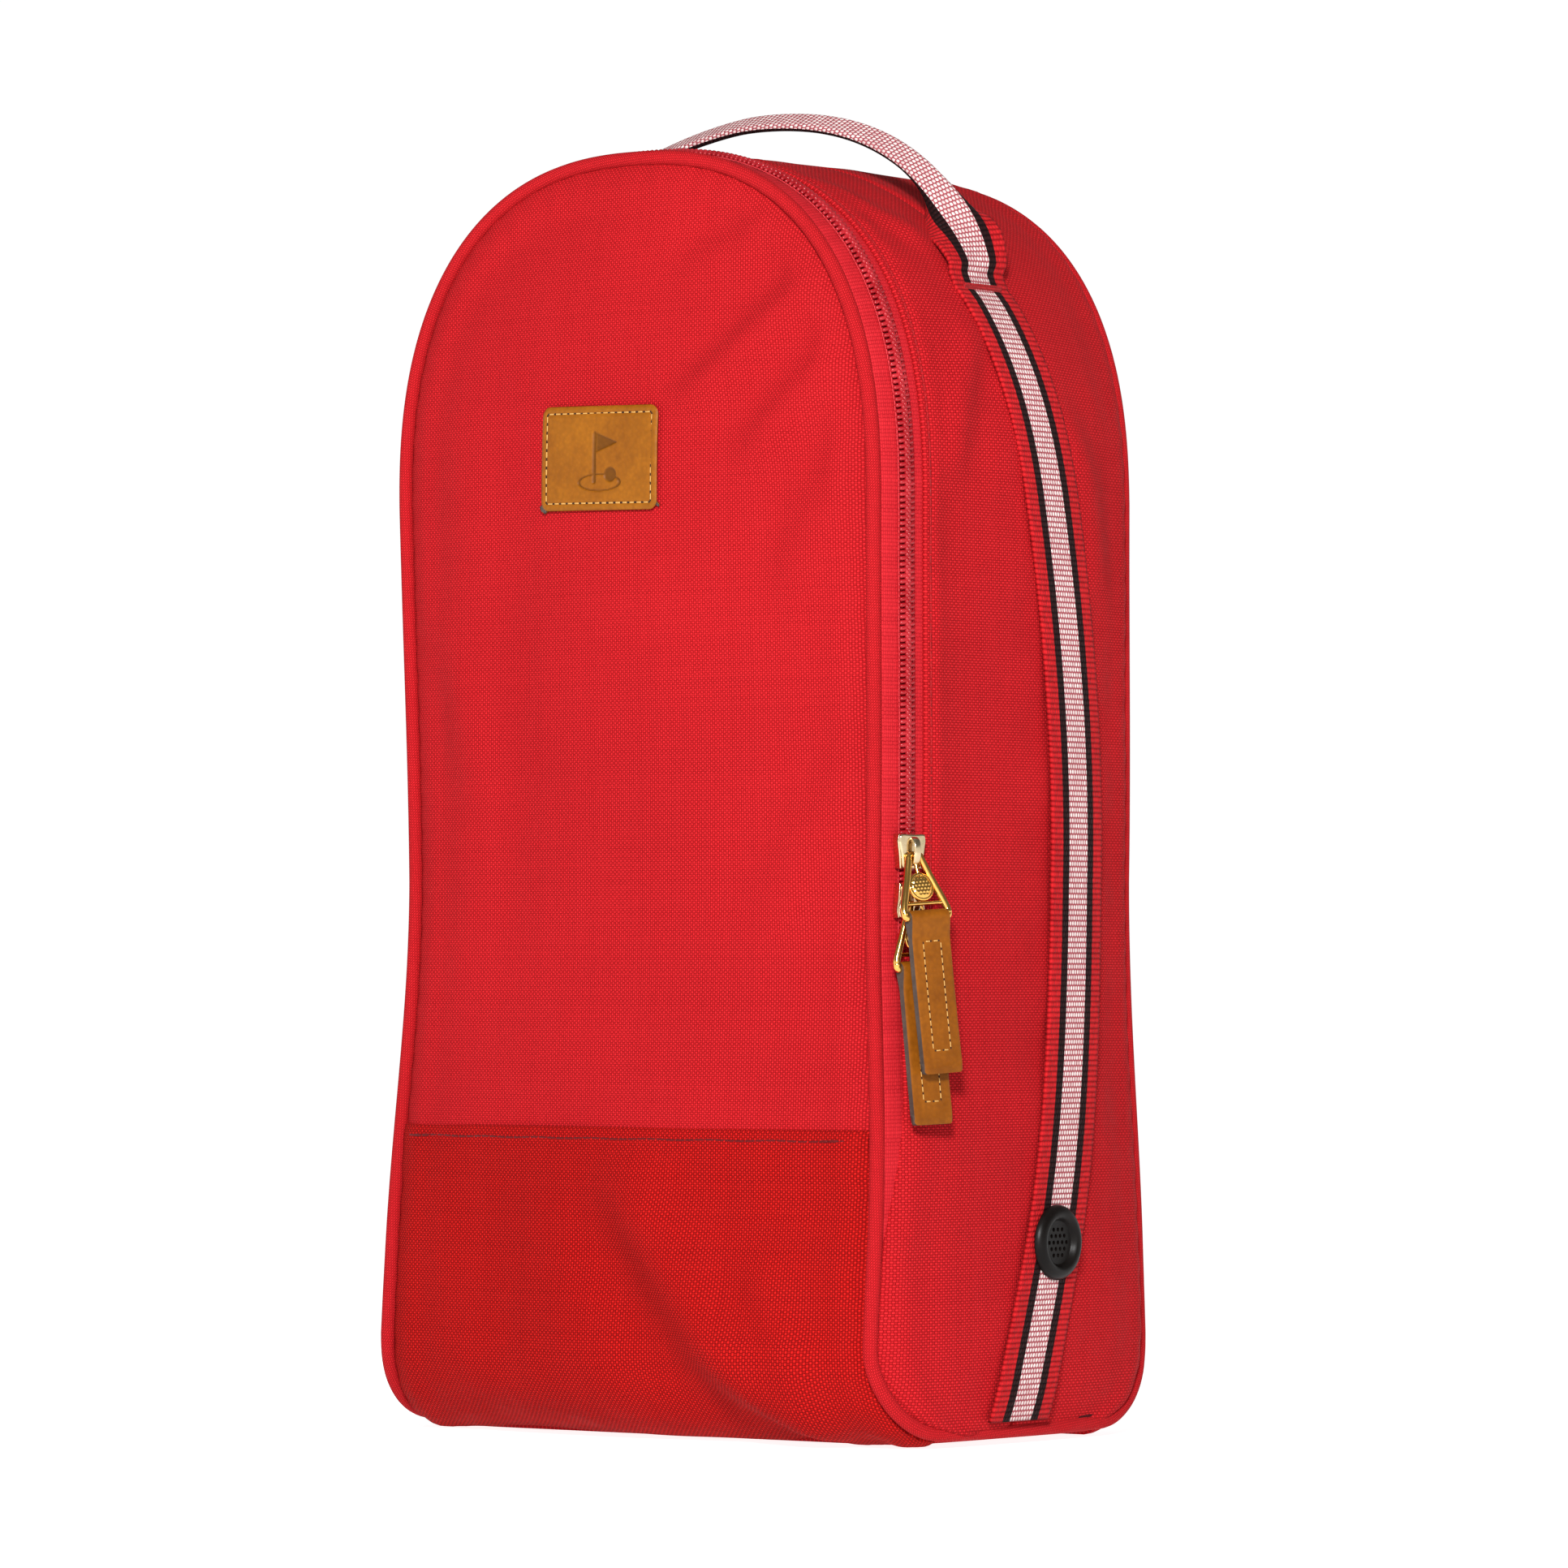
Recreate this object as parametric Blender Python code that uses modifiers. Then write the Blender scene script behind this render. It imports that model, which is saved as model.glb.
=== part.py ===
"""Golf shoe bag, upright, front facing -Y, standing on z = 0 with its base centred on the origin.

The front and back seams follow one arched outline in the X-Z plane. The gusset between them is a strip
that bulges outwards halfway. A place on the gusset is given as (s, d): s runs along the outline from the
bottom of the +X side, over the top and down to the bottom of the other side, and d is the distance behind
the front. The front and back panels wrap round the lower corners to meet a flat base panel.
"""

import math

import bmesh
import bpy
import numpy as np
from mathutils import Matrix, Vector

# Body
HEIGHT = 0.370
DEPTH = 0.1245
SWELL = 0.09  # the bag is this much deeper at the foot
SWELL_Z = 0.070
BOW = 0.003  # the waist leans back
BOW_Z = 0.165
BOW_REACH = 0.085
HALF_WIDTH_FOOT = 0.0900
HALF_WIDTH_WAIST = 0.0855
HALF_WIDTH_ARCH = 0.0875
FOOT_Z = 0.055  # the sides are parallel below here
EDGE_Z = 0.0028  # the piping's lowest line
TUCK = 0.0025  # the sides draw in this much at the bottom
TUCK_Z = 0.020
CORNER_R = 0.027  # lower corners of the sides, seen from the side
WAIST_Z = 0.160
ARCH_Z = 0.270  # the arch springs here
ARCH_POWER = 2.4
BULGE = 0.009  # how far the gusset stands out halfway back
BULGE_POWER = 3.6
CROWN_FRONT = 0.011
CROWN_BACK = 0.006
CROWN_POWER = 2.2
PANEL_RECESS = 0.0016
WALL = 0.0024  # padded fabric
GAP = 0.0003
CROWN_FOOT = 0.35  # share of the panels' crown that is left at the bottom
CROWN_FADE_Z = 0.075
BASE_LIFT = 0.0008  # how much the base panel's side edges lift off the ground
BASE_FLAT = 0.066  # half width of its flat middle

# Seams
PIPING_R = 0.0022
PANEL_INSET = 2 * PIPING_R + GAP
GUSSET_FRONT_D = 2 * PIPING_R + GAP
BINDING_WIDTH = 0.007
BINDING_THICK = 0.0010
BINDING_D = 0.0040
BINDING_FOOT_Z = 0.034
CONTRAST_Z = 0.090  # top edge of the contrast panel
FOLD_Z = 0.176  # the open front panel folds here

# Zip
CHAIN_D = 0.0106
COIL_R = 0.00125
COIL_OFFSET = 0.00160
TAPE_THICK = 0.0006
TAPE_LIFT = -0.00155
TAPE_EDGE = 0.00055  # half the slit between the two tapes
ZIP_BACK_D = 0.0168  # the gusset starts again here, behind the zip
ZIP_END_RIGHT_Z = 0.143
ZIP_END_LEFT_Z = 0.160
ZIP_STOP = 0.0030
SLIDER_A_Z = 0.168
SLIDER_B_Z = 0.154
SLIDER_LENGTH = 0.0100
PLATE_LOW = COIL_R + 0.00040  # underside of the slider's top plate over the chain
PLATE_TOP = PLATE_LOW + 0.0010
BRIDGE_TOP = 0.0050  # top of the loop that the pull hangs in
BRIDGE_EYE = 0.0042
BRIDGE_HALF = 0.0034  # half its length
BRIDGE_WALL = 0.0012
SLIDER_HALF_WIDTH = 0.0044

# Pulls and tabs
PULL_LENGTH = 0.0180
PULL_WIRE_R = 0.0007
PULL_PIVOT_LIFT = 0.0034
PULL_PIVOT_DROP = 0.0012
TAB_LENGTH = 0.044
TAB_HALF_WIDTH = 0.0065
TAB_THICK = 0.0024
TAB_LOOP_R = 0.0021
TILT_A, TILT_B = math.radians(17), math.radians(4)
SKEW_A, SKEW_B = math.radians(4), math.radians(2)
TAB_TILT = math.radians(4)

# Webbing, vents and handle
WEB_WIDTH = 0.025
WEB_THICK = 0.0013
WEB_LIFT = 0.0006  # its underside over the gusset
WEB_FOOT_Z = 0.0080  # the webbing is sewn in behind the piping here
WEB_D_FOOT = 0.052
WEB_D_MIDDLE = 0.0842
WEB_D_TOP = 0.0550
WEB_MIDDLE_Z = 0.165
TACK_Z = 0.326  # bar-tack: the webbing leaves the body above it
WEB_TOP_Z = 0.3320  # the part of the webbing that stays on the body ends here
VENT_Z = 0.0567
VENT_R = 0.0108
VENT_BARREL_R = 0.0066
HANDLE_TOP_Z = 0.3860
HANDLE_POWER = 2.0
HANDLE_SPREAD = 0.0030  # the handle bows out this much further than the body
HANDLE_HINGE_Z = 0.3320
HANDLE_START_Z = 0.3370
HANDLE_ROOT_WIDTH = 0.0150
HANDLE_WIDTH = 0.0125
HANDLE_THICK = 0.0030

# Leather patch
PATCH_HALF = (0.0215, 0.0150)
PATCH_CENTRE = (-0.003, 0.2812)
PATCH_THICK = 0.0016
PATCH_CORNER = 0.0030


def remove_everything():
    for obj in list(bpy.data.objects):
        bpy.data.objects.remove(obj, do_unlink=True)


def new_collection(name):
    collection = bpy.data.collections.new(name)
    bpy.context.scene.collection.children.link(collection)
    return collection


remove_everything()
PARTS = new_collection("golf_shoe_bag")
CUTTERS = new_collection("cutters")


# ---------------------------------------------------------------- materials


def material(name, srgb, roughness, metallic=0.0):
    """A Principled BSDF whose colour is given as 0-255 sRGB."""
    made = bpy.data.materials.new(name)
    made.use_nodes = True
    linear = [((c / 255 + 0.055) / 1.055) ** 2.4 if c > 10 else c / 255 / 12.92 for c in srgb]
    shader = made.node_tree.nodes["Principled BSDF"]
    shader.inputs["Base Color"].default_value = (*linear, 1)
    shader.inputs["Roughness"].default_value = roughness
    shader.inputs["Metallic"].default_value = metallic
    made.diffuse_color = (*linear, 1)
    return made


RED_FABRIC = material("red_fabric", (204, 30, 36), 0.75)
RED_MELANGE = material("red_melange_fabric", (184, 30, 32), 0.8)
RED_TAPE = material("red_zip_tape", (214, 48, 62), 0.7)
RED_COIL = material("red_zip_coil", (190, 40, 48), 0.45)
STRIPED_WEBBING = material("striped_webbing", (203, 161, 156), 0.7)
RED_THREAD = material("red_thread", (180, 24, 34), 0.6)
TAN_LEATHER = material("tan_leather", (172, 103, 35), 0.5)
BLACK_PLASTIC = material("black_plastic", (28, 22, 19), 0.4)
GOLD = material("gold_plate", (226, 178, 92), 0.2, 1.0)
CHROME = material("chrome", (214, 208, 198), 0.15, 1.0)
BINDING = material("binding_tape", (70, 20, 24), 0.8)


# ---------------------------------------------------------------- the outline and the gusset surface


def superellipse(angle, power):
    """Point at this angle on the unit superellipse."""
    c, s = abs(math.cos(angle)), abs(math.sin(angle))
    r = (c**power + s**power) ** (-1 / power)
    return r * c, r * s


def half_width(z):
    """Half width of the body below the arch."""
    if z < WAIST_Z:
        share = (1 - math.cos(math.pi * max(0.0, z - FOOT_Z) / (WAIST_Z - FOOT_Z))) / 2
        tuck = TUCK * max(0.0, 1 - z / TUCK_Z) ** 2
        return HALF_WIDTH_FOOT + (HALF_WIDTH_WAIST - HALF_WIDTH_FOOT) * share - tuck
    share = (z - WAIST_Z) / (ARCH_Z - WAIST_Z)
    return HALF_WIDTH_WAIST + (HALF_WIDTH_ARCH - HALF_WIDTH_WAIST) * share


def right_half():
    """The +X half of the outline, from its bottom end to the apex, about 1 mm between points."""
    points = [(half_width(z), z) for z in np.linspace(0.0, ARCH_Z, 300)]
    for angle in np.linspace(0, math.pi / 2, 200)[1:]:
        across, up = superellipse(angle, ARCH_POWER)
        points.append((HALF_WIDTH_ARCH * across, ARCH_Z + (HEIGHT - ARCH_Z) * up))
    return np.array(points)


RIGHT = right_half()
RIGHT[-1, 0] = 0.0
RIGHT_S = np.concatenate([[0], np.cumsum(np.linalg.norm(np.diff(RIGHT, axis=0), axis=1))])
APEX_S = RIGHT_S[-1]


def outline_point(s):
    side = 1 if s <= APEX_S else -1
    along = s if side > 0 else 2 * APEX_S - s
    return np.array([side * np.interp(along, RIGHT_S, RIGHT[:, 0]), np.interp(along, RIGHT_S, RIGHT[:, 1])])


def outline_normal(s):
    """Unit outward normal of the outline, in X-Z."""
    step = 0.0015
    s = min(max(s, step), 2 * APEX_S - step)
    across, up = outline_point(s + step) - outline_point(s - step)
    return np.array([up, -across]) / math.hypot(across, up)


def s_at(z, left=False):
    """Where the outline's side passes this height."""
    along = np.interp(z, RIGHT[:, 1], RIGHT_S)
    return 2 * APEX_S - along if left else along


def depth_y(d, z):
    """Y of a point d behind the front at height z."""
    bow = BOW * math.exp(-(((z - BOW_Z) / BOW_REACH) ** 2))
    return (d - DEPTH / 2) * (1 + SWELL * math.exp(-((z / SWELL_Z) ** 2))) + bow


def bulge(s, d):
    return BULGE * outline_normal(s)[0] ** 2 * (1 - abs(2 * d / DEPTH - 1) ** BULGE_POWER)


def skin(s, d, lift=0.0):
    """Point of the gusset's outer surface at (s, d), raised by lift along its normal."""
    normal = outline_normal(s)
    slope = (bulge(s, d + 0.0005) - bulge(s, d - 0.0005)) / 0.001
    across, up = outline_point(s) + normal * bulge(s, d)
    tilted = np.array([normal[0], -slope, normal[1]]) / math.sqrt(1 + slope**2)
    return np.array([across, depth_y(d, outline_point(s)[1]), up]) + lift * tilted


def skin_frame(s, d, lift=0.0):
    """Place on the gusset with Z up the outline and -Y outwards. X is to the rear on the right side."""
    across = Vector(skin(s, d + 0.001) - skin(s, d - 0.001)).normalized()
    along = Vector(skin(s + 0.001, d) - skin(s - 0.001, d)).normalized()
    if s > APEX_S:
        across, along = -across, -along
    inward = along.cross(across).normalized()
    frame = Matrix((across, inward, across.cross(inward))).transposed().to_4x4()
    frame.translation = Vector(skin(s, d, lift))
    return frame


def all_stations(per_turn=0.29, longest=0.040):
    """Stations round the outline, closer together where it turns, so that every strip bends alike."""
    fine = np.linspace(0, 2 * APEX_S, 3000)
    heading = np.unwrap([math.atan2(*outline_normal(s)) for s in fine])
    cost = np.abs(np.diff(heading)) / per_turn + np.diff(fine) / longest
    total = np.concatenate([[0], np.cumsum(cost)])
    return np.interp(np.arange(0, total[-1]), total, fine)


def corner_d(z, inset):
    """d of the line that runs this far inside a side's edge, round its lower corner."""
    below = max(0.0, EDGE_Z + CORNER_R - z)
    return CORNER_R - math.sqrt(max(0.0, (CORNER_R - inset) ** 2 - below**2))


def corner_heights(inset, count=6):
    """Heights round the lower corner of that line, from its lowest up to where it turns straight."""
    reach = CORNER_R - inset
    return [EDGE_Z + CORNER_R - reach * math.cos(turn) for turn in np.linspace(0, math.pi / 2, count)]


CORNER_S = [s_at(z) for z in corner_heights(PANEL_INSET)]
STATIONS = sorted([*all_stations(), *CORNER_S, *(2 * APEX_S - s for s in CORNER_S)])


def spread(start, end, margin=0.002):
    """The stations between start and end, with both ends."""
    return [start, *(s for s in STATIONS if start + margin < s < end - margin), end]


def roundness(x, z):
    """0 on the panel's middle line, 1 on the outline."""
    if z > ARCH_Z:
        up = (z - ARCH_Z) / (HEIGHT - ARCH_Z)
        return ((abs(x) / HALF_WIDTH_ARCH) ** ARCH_POWER + up**ARCH_POWER) ** (1 / ARCH_POWER)
    return abs(x) / half_width(z)


def crown(x, z):
    """Share of a panel's crown here. It fades towards the bottom."""
    fade = CROWN_FOOT + (1 - CROWN_FOOT) * math.sin(math.pi / 2 * min(1.0, z / CROWN_FADE_Z))
    return fade * (1 - min(1.0, roundness(x, z)) ** CROWN_POWER)


def front_y(x, z):
    return depth_y(PANEL_RECESS - CROWN_FRONT * crown(x, z), z)


def back_y(x, z):
    return depth_y(DEPTH - PANEL_RECESS + CROWN_BACK * crown(x, z), z)


# ---------------------------------------------------------------- building blocks


def add(name, mesh, look, parent=None, smooth=35):
    obj = bpy.data.objects.new(name, mesh)
    PARTS.objects.link(obj)
    mesh.materials.clear()
    mesh.materials.append(look)
    if smooth:
        mesh.shade_smooth()
        mesh.set_sharp_from_angle(angle=math.radians(smooth))
    attach(obj, parent)
    return obj


def attach(obj, parent):
    """Parents obj without moving it."""
    if parent:
        obj.parent = parent
        obj.matrix_parent_inverse = world_of(parent).inverted()


def world_of(obj):
    own = obj.matrix_basis
    return world_of(obj.parent) @ obj.matrix_parent_inverse @ own if obj.parent else own.copy()


def empty(name, location_matrix, parent=None):
    obj = bpy.data.objects.new(name, None)
    PARTS.objects.link(obj)
    obj.empty_display_size = 0.01
    obj.matrix_basis = location_matrix
    attach(obj, parent)
    return obj


def grid_mesh(name, rows):
    """Open surface through rows of points. Its normals face along column direction x row direction."""
    rows = np.array(rows)
    count, width = rows.shape[:2]
    faces = [
        (i * width + j, i * width + j + 1, (i + 1) * width + j + 1, (i + 1) * width + j)
        for i in range(count - 1)
        for j in range(width - 1)
    ]
    mesh = bpy.data.meshes.new(name)
    mesh.from_pydata(rows.reshape(-1, 3).tolist(), [], faces)
    return mesh


def sheet(name, rows, thickness, look, parent=None):
    """A sheet whose outer surface passes through the rows of points."""
    obj = add(name, grid_mesh(name, rows), look, parent)
    solidify = obj.modifiers.new("thickness", "SOLIDIFY")
    solidify.thickness = thickness
    solidify.offset = -1
    solidify.use_even_offset = True
    return obj


def gusset_strip(
    name, stations, front_edge, rear_edge, columns, look, thickness=WALL, lift=0.0, parent=None
):
    """A strip of the gusset between two edges, each given as a function of s."""
    rows = [
        [skin(s, d, lift) for d in np.linspace(front_edge(s), rear_edge(s), columns)]
        for s in stations
    ]
    return sheet(name, rows, thickness, look, parent)


def tube(name, points, radius, look, parent=None, cyclic=False):
    """A round rod through the points."""
    curve = bpy.data.curves.new(name, "CURVE")
    curve.dimensions = "3D"
    spline = curve.splines.new("POLY")
    spline.points.add(len(points) - 1)
    for spot, point in zip(spline.points, points):
        spot.co = (*point, 1)
    spline.use_cyclic_u = cyclic
    curve.bevel_depth = radius
    curve.bevel_resolution = 2
    curve.use_fill_caps = True
    curve.materials.append(look)
    obj = bpy.data.objects.new(name, curve)
    PARTS.objects.link(obj)
    attach(obj, parent)
    return obj


def box_in(mesh, low, high):
    """Adds a closed box to a bmesh."""
    size = Vector(high) - Vector(low)
    middle = (Vector(high) + Vector(low)) / 2
    bmesh.ops.create_cube(mesh, size=1, matrix=Matrix.Translation(middle) @ Matrix.Diagonal((*size, 1)))


def rod_in(mesh, centre, axis, radius, length, segments=16):
    """Adds a closed cylinder to a bmesh."""
    turn = Vector((0, 0, 1)).rotation_difference(Vector(axis)).to_matrix().to_4x4()
    bmesh.ops.create_cone(
        mesh, cap_ends=True, segments=segments, radius1=radius, radius2=radius, depth=length,
        matrix=Matrix.Translation(Vector(centre)) @ turn,
    )


def finished(mesh, name):
    data = bpy.data.meshes.new(name)
    mesh.to_mesh(data)
    mesh.free()
    return data


def helper(name, mesh, matrix=None):
    """A hidden object that a Boolean uses."""
    obj = bpy.data.objects.new(name, mesh)
    CUTTERS.objects.link(obj)
    obj.hide_render = True
    obj.display_type = "WIRE"
    obj.matrix_basis = matrix or Matrix.Identity(4)
    return obj


def boolean(obj, other, operation):
    modifier = obj.modifiers.new(f"{operation.lower()}_{other.name}", "BOOLEAN")
    modifier.operation = operation
    modifier.solver = "EXACT"
    modifier.object = other
    return modifier


# ---------------------------------------------------------------- front and back panels


def inset_half_width(z, d):
    """Half width of a panel at height z, d behind the front of the side that it meets."""
    s = s_at(z)
    sideways = outline_normal(s)[0]
    return outline_point(s)[0] + (bulge(s, min(d, DEPTH - d)) - PANEL_INSET) * sideways


def arch_half_width(z):
    """Half width at height z of the outline drawn in by the panel's inset."""
    drawn = np.array([outline_point(s) - PANEL_INSET * outline_normal(s) for s in RIGHT_S])
    return float(np.interp(z, drawn[:, 1], drawn[:, 0]))


def across(reach, columns=11):
    """Places across a panel, closer together at its edges."""
    return np.sin(np.linspace(-math.pi / 2, math.pi / 2, columns)) * reach


def panel_rows(heights, surface, direction):
    """Rows of points up a crowned panel. direction is +1 where columns run towards +X."""
    return [[(x, surface(x, z), z) for x in direction * across(arch_half_width(z))] for z in heights]


def arch_heights(start, count):
    """Heights from start to the inset arch's top, closer together near the top."""
    rise = HEIGHT - PANEL_INSET - start
    return [start + rise * math.sin(turn) for turn in np.linspace(0, 0.985 * math.pi / 2, count)]


def wrapped_rows(crown_height, far_side, count=7):
    """Rows round a lower corner, from flat on the ground to upright. far_side is True at the back."""
    middle = EDGE_Z + CORNER_R
    rows = []
    for turn in np.linspace(0, math.pi / 2, count):
        z = middle * (1 - math.cos(turn))
        edge_d = CORNER_R * (1 - math.sin(turn))
        reach = inset_half_width(max(z, EDGE_Z), edge_d)
        row = []
        for x in (-1 if far_side else 1) * across(reach):
            radius = CORNER_R - PANEL_RECESS + crown_height * crown(x, middle)
            d = CORNER_R - radius * math.sin(turn)
            row.append((x, depth_y(DEPTH - d if far_side else d, z), z))
        rows.append(row)
    return rows


def make_panels(flap):
    half = GAP / 2
    middle = EDGE_Z + CORNER_R
    sheet(
        "front_panel_flap", panel_rows(arch_heights(FOLD_Z + half, 10), front_y, 1),
        WALL, RED_FABRIC, flap,
    )
    sheet(
        "front_panel_lower", panel_rows(np.linspace(CONTRAST_Z + half, FOLD_Z - half, 4), front_y, 1),
        WALL, RED_FABRIC,
    )
    upright = panel_rows(np.linspace(middle, CONTRAST_Z - half, 4)[1:], front_y, 1)
    sheet("front_contrast_panel", wrapped_rows(CROWN_FRONT, False) + upright, WALL, RED_MELANGE)
    upright = panel_rows([*np.linspace(middle, WAIST_Z, 5)[1:-1], *arch_heights(WAIST_Z, 10)], back_y, -1)
    sheet("back_panel", wrapped_rows(CROWN_BACK, True) + upright, WALL, RED_FABRIC)


# ---------------------------------------------------------------- gusset


def seam_d(s):
    """The seam between the front and rear gusset, which the webbing covers."""
    z = outline_point(s)[1]
    if z < WEB_MIDDLE_Z:
        return WEB_D_FOOT + (WEB_D_MIDDLE - WEB_D_FOOT) * math.sin(math.pi / 2 * z / WEB_MIDDLE_Z)
    share = min(1.0, (z - WEB_MIDDLE_Z) / (TACK_Z - WEB_MIDDLE_Z))
    return WEB_D_MIDDLE - (WEB_D_MIDDLE - WEB_D_TOP) * share**2


def gusset_front_edge(s):
    """The gusset starts behind the zip where there is a zip, and at the piping below it."""
    inside_zip = s_at(ZIP_END_RIGHT_Z) < s < s_at(ZIP_END_LEFT_Z, left=True)
    return ZIP_BACK_D if inside_zip else corner_d(outline_point(s)[1], PANEL_INSET)


def gusset_rear_edge(s):
    return DEPTH - corner_d(outline_point(s)[1], PANEL_INSET)


def vent_places():
    """Name ending and place of the two vents."""
    return (("right", s_at(VENT_Z)), ("left", s_at(VENT_Z, left=True)))


def make_gusset():
    start = s_at(corner_heights(PANEL_INSET)[0])
    end = 2 * APEX_S - start
    low, high = s_at(ZIP_END_RIGHT_Z), s_at(ZIP_END_LEFT_Z, left=True)
    step = 0.0005
    stations = [*spread(start, low), *spread(low + step, high - step), *spread(high, end)]
    front = gusset_strip(
        "front_gusset", stations, gusset_front_edge, lambda s: seam_d(s) - GAP / 2, 6, RED_FABRIC
    )
    rear = gusset_strip(
        "rear_gusset", stations, lambda s: seam_d(s) + GAP / 2, gusset_rear_edge, 4, RED_FABRIC
    )
    return front, rear


def make_base():
    """The flat base panel between the two wrapped lower corners."""
    rows = []
    for d in np.linspace(CORNER_R + GAP, DEPTH - CORNER_R - GAP, 7):
        reach = inset_half_width(EDGE_Z, d)
        places = (reach, BASE_FLAT, 0.0, -BASE_FLAT, -reach)
        rows.append([(x, depth_y(d, 0.0), BASE_LIFT if abs(x) == reach else 0.0) for x in places])
    sheet("base_panel", rows, WALL, RED_FABRIC)


def side_place(z, d, side, inset):
    """Point this far inside the gusset's outer surface, at height z on the right (+1) or left (-1)."""
    s = s_at(z)
    normal = outline_normal(s)
    point = outline_point(s) + (bulge(s, d) - inset) * normal
    return side * point[0], depth_y(d, z), point[1]


def piping_side(start, side, rear):
    """Centre line of the piping down one side from height start, round the corner to the middle of the base."""
    def place(z, d):
        return side_place(z, DEPTH - d if rear else d, side, PIPING_R)

    straight = [outline_point(s)[1] for s in spread(s_at(EDGE_Z + CORNER_R), s_at(start))][::-1]
    points = [place(z, PIPING_R) for z in straight]
    points += [place(z, corner_d(z, PIPING_R)) for z in corner_heights(PIPING_R)[-2::-1]]
    bottom = EDGE_Z + PIPING_R
    return points + [place(bottom, d) for d in np.linspace(CORNER_R, DEPTH / 2 - GAP / 2, 4)[1:]]


def piping_arch(start, rear):
    """Centre line of the piping over the arch, from height start on the right to the same on the left."""
    d = DEPTH - PIPING_R if rear else PIPING_R
    points = []
    for s in spread(s_at(start), 2 * APEX_S - s_at(start)):
        point = outline_point(s) + (bulge(s, d) - PIPING_R) * outline_normal(s)
        points.append((point[0], depth_y(d, outline_point(s)[1]), point[1]))
    return points


def make_piping(flap):
    cut = GAP / 2
    tube("front_piping_flap", piping_arch(FOLD_Z + cut, False), PIPING_R, RED_FABRIC, flap)
    tube("front_piping_right", piping_side(FOLD_Z - cut, 1, False), PIPING_R, RED_FABRIC)
    tube("front_piping_left", piping_side(FOLD_Z - cut, -1, False), PIPING_R, RED_FABRIC)
    right, left = piping_side(FOLD_Z, 1, True), piping_side(FOLD_Z, -1, True)
    over = piping_arch(FOLD_Z, True)
    tube("back_piping", right[::-1] + over[1:-1] + left, PIPING_R, RED_FABRIC)


def binding(name, stations, d, direction, parent=None):
    """A flat tape over the raw edges inside a seam. direction is -1 at the front, +1 at the back."""
    rows = []
    for s in stations:
        ends = (PANEL_INSET + BINDING_WIDTH, PANEL_INSET)[::-direction]
        points = [outline_point(s) - inset * outline_normal(s) for inset in ends]
        rows.append([(p[0], depth_y(d, outline_point(s)[1]), p[1]) for p in points])
    return sheet(name, rows, BINDING_THICK, BINDING, parent)


def make_bindings(flap):
    fold, low = s_at(FOLD_Z), s_at(BINDING_FOOT_Z)
    front, back = BINDING_D, DEPTH - BINDING_D
    binding("flap_seam_binding", spread(fold + GAP, 2 * APEX_S - fold - GAP), front, -1, flap)
    binding("front_seam_binding_right", spread(low, fold - GAP), front, -1)
    binding("front_seam_binding_left", spread(2 * APEX_S - fold + GAP, 2 * APEX_S - low), front, -1)
    binding("back_seam_binding", spread(low, 2 * APEX_S - low), back, 1)


# ---------------------------------------------------------------- zip


def coil(name, stations, side, look, parent=None):
    points = [skin(s, CHAIN_D + side * COIL_OFFSET) for s in stations]
    return tube(name, points, COIL_R, look, parent)


def tape(name, stations, low_d, high_d, parent=None):
    return gusset_strip(
        name, stations, lambda s: low_d, lambda s: high_d, 2, RED_TAPE, TAPE_THICK, TAPE_LIFT, parent
    )


def make_zip(flap):
    right, left = s_at(ZIP_END_RIGHT_Z), s_at(ZIP_END_LEFT_Z, left=True)
    fold_right, fold_left = s_at(FOLD_Z), s_at(FOLD_Z, left=True)
    tape_front = (GUSSET_FRONT_D, CHAIN_D - TAPE_EDGE)
    tape_rear = (CHAIN_D + TAPE_EDGE, ZIP_BACK_D - GAP)
    margin = 0.001
    tape("zip_rear_tape", spread(right + margin, left - margin), *tape_rear)
    tape("zip_front_tape", spread(fold_right + GAP / 2, fold_left - GAP / 2), *tape_front, flap)
    tape("zip_front_tape_end_right", np.linspace(right + margin, fold_right - GAP / 2, 3), *tape_front)
    tape("zip_front_tape_end_left", np.linspace(fold_left + GAP / 2, left - margin, 3), *tape_front)
    coil_right, coil_left = right + margin + ZIP_STOP + GAP, left - margin - ZIP_STOP - GAP
    coil("zip_rear_coil", spread(coil_right, coil_left), 1, RED_COIL)
    coil("zip_front_coil", spread(fold_right + GAP / 2, fold_left - GAP / 2), -1, RED_COIL, flap)
    coil("zip_front_coil_end_right", np.linspace(coil_right, fold_right - GAP / 2, 2), -1, RED_COIL)
    coil("zip_front_coil_end_left", np.linspace(fold_left + GAP / 2, coil_left, 2), -1, RED_COIL)
    for side, s in (("right", right + margin + ZIP_STOP / 2), ("left", left - margin - ZIP_STOP / 2)):
        mesh = bmesh.new()
        reach = COIL_OFFSET + COIL_R + 0.0006
        box_in(mesh, (-reach, -0.0016, -ZIP_STOP / 2), (reach, 0.0009, ZIP_STOP / 2))
        stop = add(f"zip_stop_{side}", finished(mesh, "zip_stop"), RED_COIL)
        stop.matrix_basis = skin_frame(s, CHAIN_D)
        rounded(stop, 0.0005)


def rounded(obj, width, segments=2):
    bevel = obj.modifiers.new("rounded", "BEVEL")
    bevel.width = width
    bevel.segments = segments
    bevel.limit_method = "ANGLE"
    return bevel


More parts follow.
